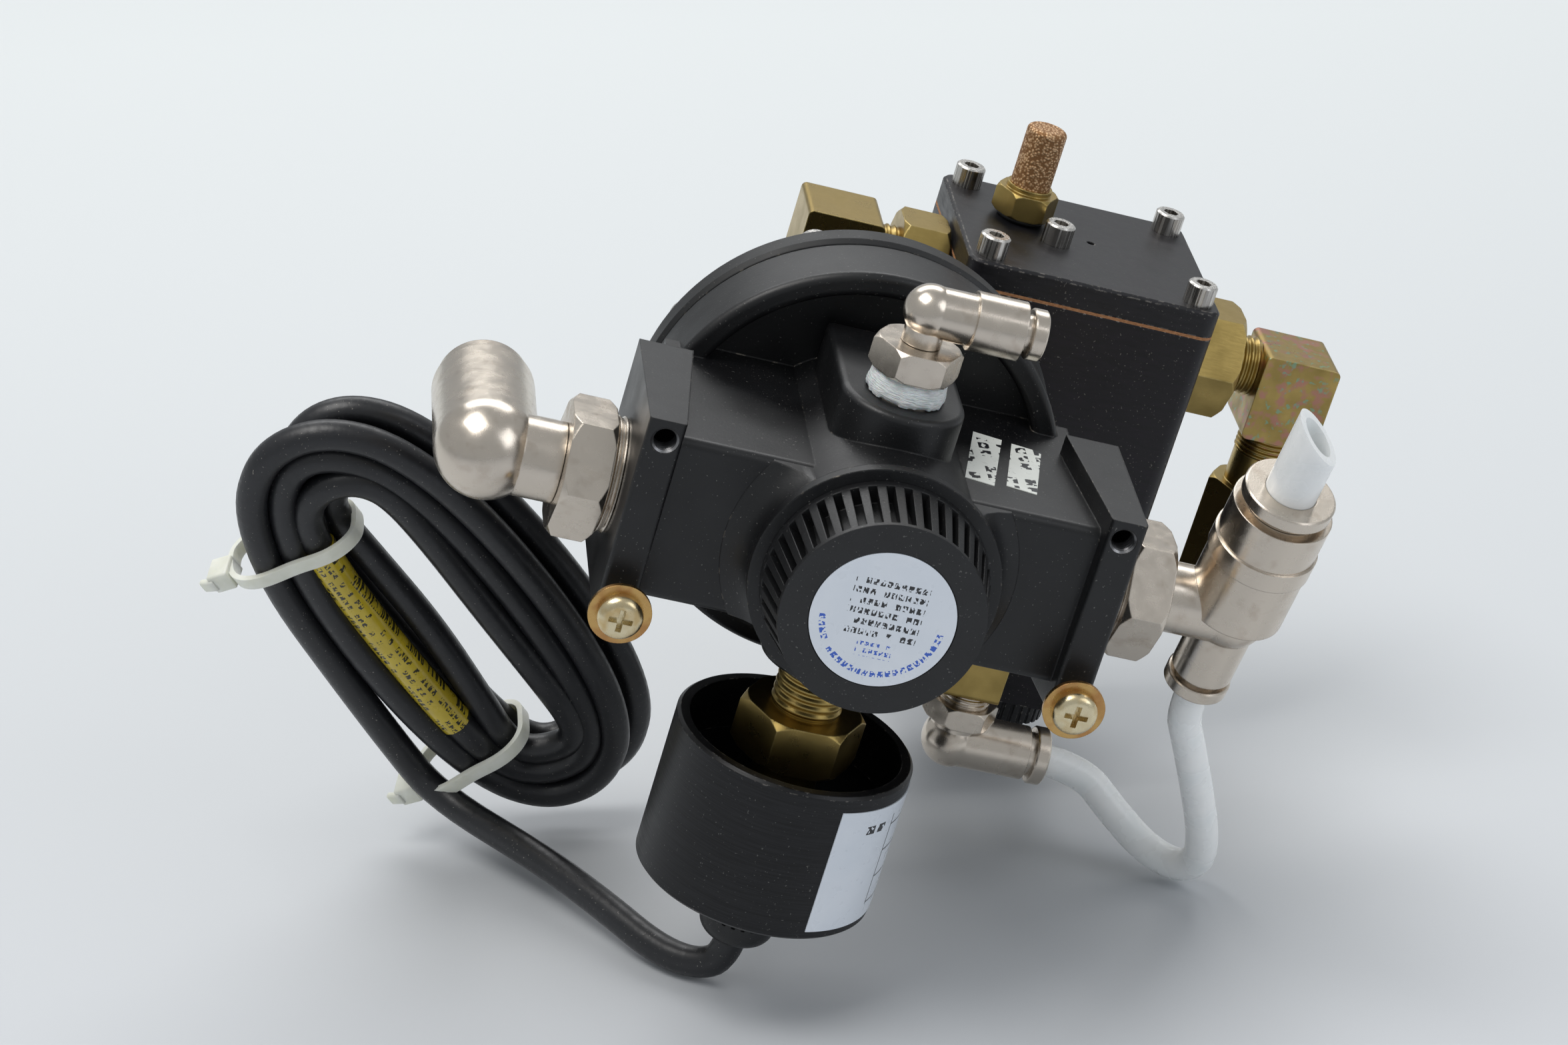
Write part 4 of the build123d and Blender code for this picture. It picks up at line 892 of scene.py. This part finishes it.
threadSlot = {
    "inlet_thread": "nickel", "outlet_thread": "nickel", "feed_thread": "nickel",
    "left_hole_thread": "steel_screw", "right_hole_thread": "steel_screw"}
threadSteel = steelPlain("zinc_alloy_thread_cut")


def intoPlace(form, way, at):
    bmesh.ops.transform(form, matrix=leanOver @ Matrix.Translation(at) @ way, verts=form.verts)


for name, cut in threads.items():
    start, end = cut["span"]
    count = round((end - start) / cut["pitch"])
    pitch = (end - start) / count
    core = cut.get("core", cut["root"] - ridge["sink"])
    outline = [(core, start)]
    for number in range(count):
        base = start + number * pitch
        outline.append((cut["root"], base + ridge["run"]))
        outline += [(cut["crest"], base + share * pitch) for share in ridge["flat"]]
    outline += [(cut["root"], end - ridge["run"]), (core, end)]
    form = spunForm(outline, ridge["steps"], closed=True)
    intoPlace(form, cut["way"], cut["at"])
    slotName = threadSlot.get(name, "brass")
    keepPiece(form, name, slotName, {"brass": brassBright, "steel_screw": threadSteel}.get(slotName))
print("threads cut:", len(threads))

stickerSheet = {"thick": 0.14, "height": 15.58}
stickers = {
    "bar_sticker_left": {"middle": (19.0, 6.6), "size": (5.4, 22.0), "turn": radians(-11.5)},
    "bar_sticker_right": {"middle": (26.5, 5.9), "size": (5.6, 20.0), "turn": radians(-10.8)},
}
for name, sticker in stickers.items():
    form = bmesh.new()
    bmesh.ops.create_cube(form, size=1.0)
    bmesh.ops.scale(form, verts=form.verts, vec=(*sticker["size"], stickerSheet["thick"]))
    bmesh.ops.subdivide_edges(form, edges=form.edges, cuts=2, use_grid_fill=True)
    spot = (*sticker["middle"], stickerSheet["height"])
    intoPlace(form, Matrix.Rotation(sticker["turn"], 4, "Z"), spot)
    keepPiece(form, name, "label_white", stickerPaper)

tape = {
    "name": "sealing_tape_wound", "root": 6.4, "steps": 96, "tornBelow": 29.0, "drop": 0.12, "lift": 0.0275,
    "rough": 0.006,
    "layers": ((0, 27.1), (0.5, 27.25), (0.75, 28.0), (0.6, 28.9), (0.62, 29.2), (0.45, 30.7), (0, 31.4)),
}


def makeTape():
    # Layers of film pulled round the thread, torn and lifted at the lower edge
    outline = [(tape["root"] + rise, height) for rise, height in tape["layers"]]
    form = spunForm(outline, tape["steps"], closed=True)
    for vert in form.verts:
        turn = vert.co.to_2d().angle_signed(Vector((1, 0)))
        fray = sin(7 * turn + 1) + 0.6 * sin(17 * turn) + 0.5 * sin(31 * turn + 2)
        if vert.co.z < tape["tornBelow"] and vert.co.to_2d().length > tape["root"] + 0.1:
            vert.co.z -= tape["drop"] * fray
            vert.co.xy *= 1 + tape["lift"] * max(0.0, fray)
        else:
            vert.co.xy *= 1 + tape["rough"] * fray
    intoPlace(form, standing, (0, 0, 0))
    piece = keepPiece(form, tape["name"], "tape_white", angle=50.0)
    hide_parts("sealing_tape")


makeTape()

flare = {
    "name": "hub_flare", "halfHeight": 15.2, "steps": 128,
    "outline": (
        (20.6, 13.2), (20.6, 20.6), (21.1, 20.3), (21.5, 18.6), (22.5, 16.6), (24.2, 15.0), (26.4, 14.05),
        (26.4, 13.2)),
}


def makeFlare():
    # Cast fillet from the hub out to the front of the bar, cut level with the bar
    form = spunForm(flare["outline"], flare["steps"], closed=True)
    bmesh.ops.rotate(form, verts=form.verts, cent=(0, 0, 0), matrix=towardFront.to_3x3())
    for side in (-1, 1):
        whole = form.verts[:] + form.edges[:] + form.faces[:]
        level = (0, 0, side * flare["halfHeight"])
        cut = bmesh.ops.bisect_plane(
            form, geom=whole, plane_co=level, plane_no=(0, 0, side), clear_outer=True)
        edges = [e for e in cut["geom_cut"] if isinstance(e, bmesh.types.BMEdge)]
        bmesh.ops.holes_fill(form, edges=edges, sides=0)
    intoPlace(form, standing, (0, 0, 0))
    keepPiece(form, flare["name"], "cast_black", angle=50.0)


makeFlare()
print("stickers, tape and flare made")
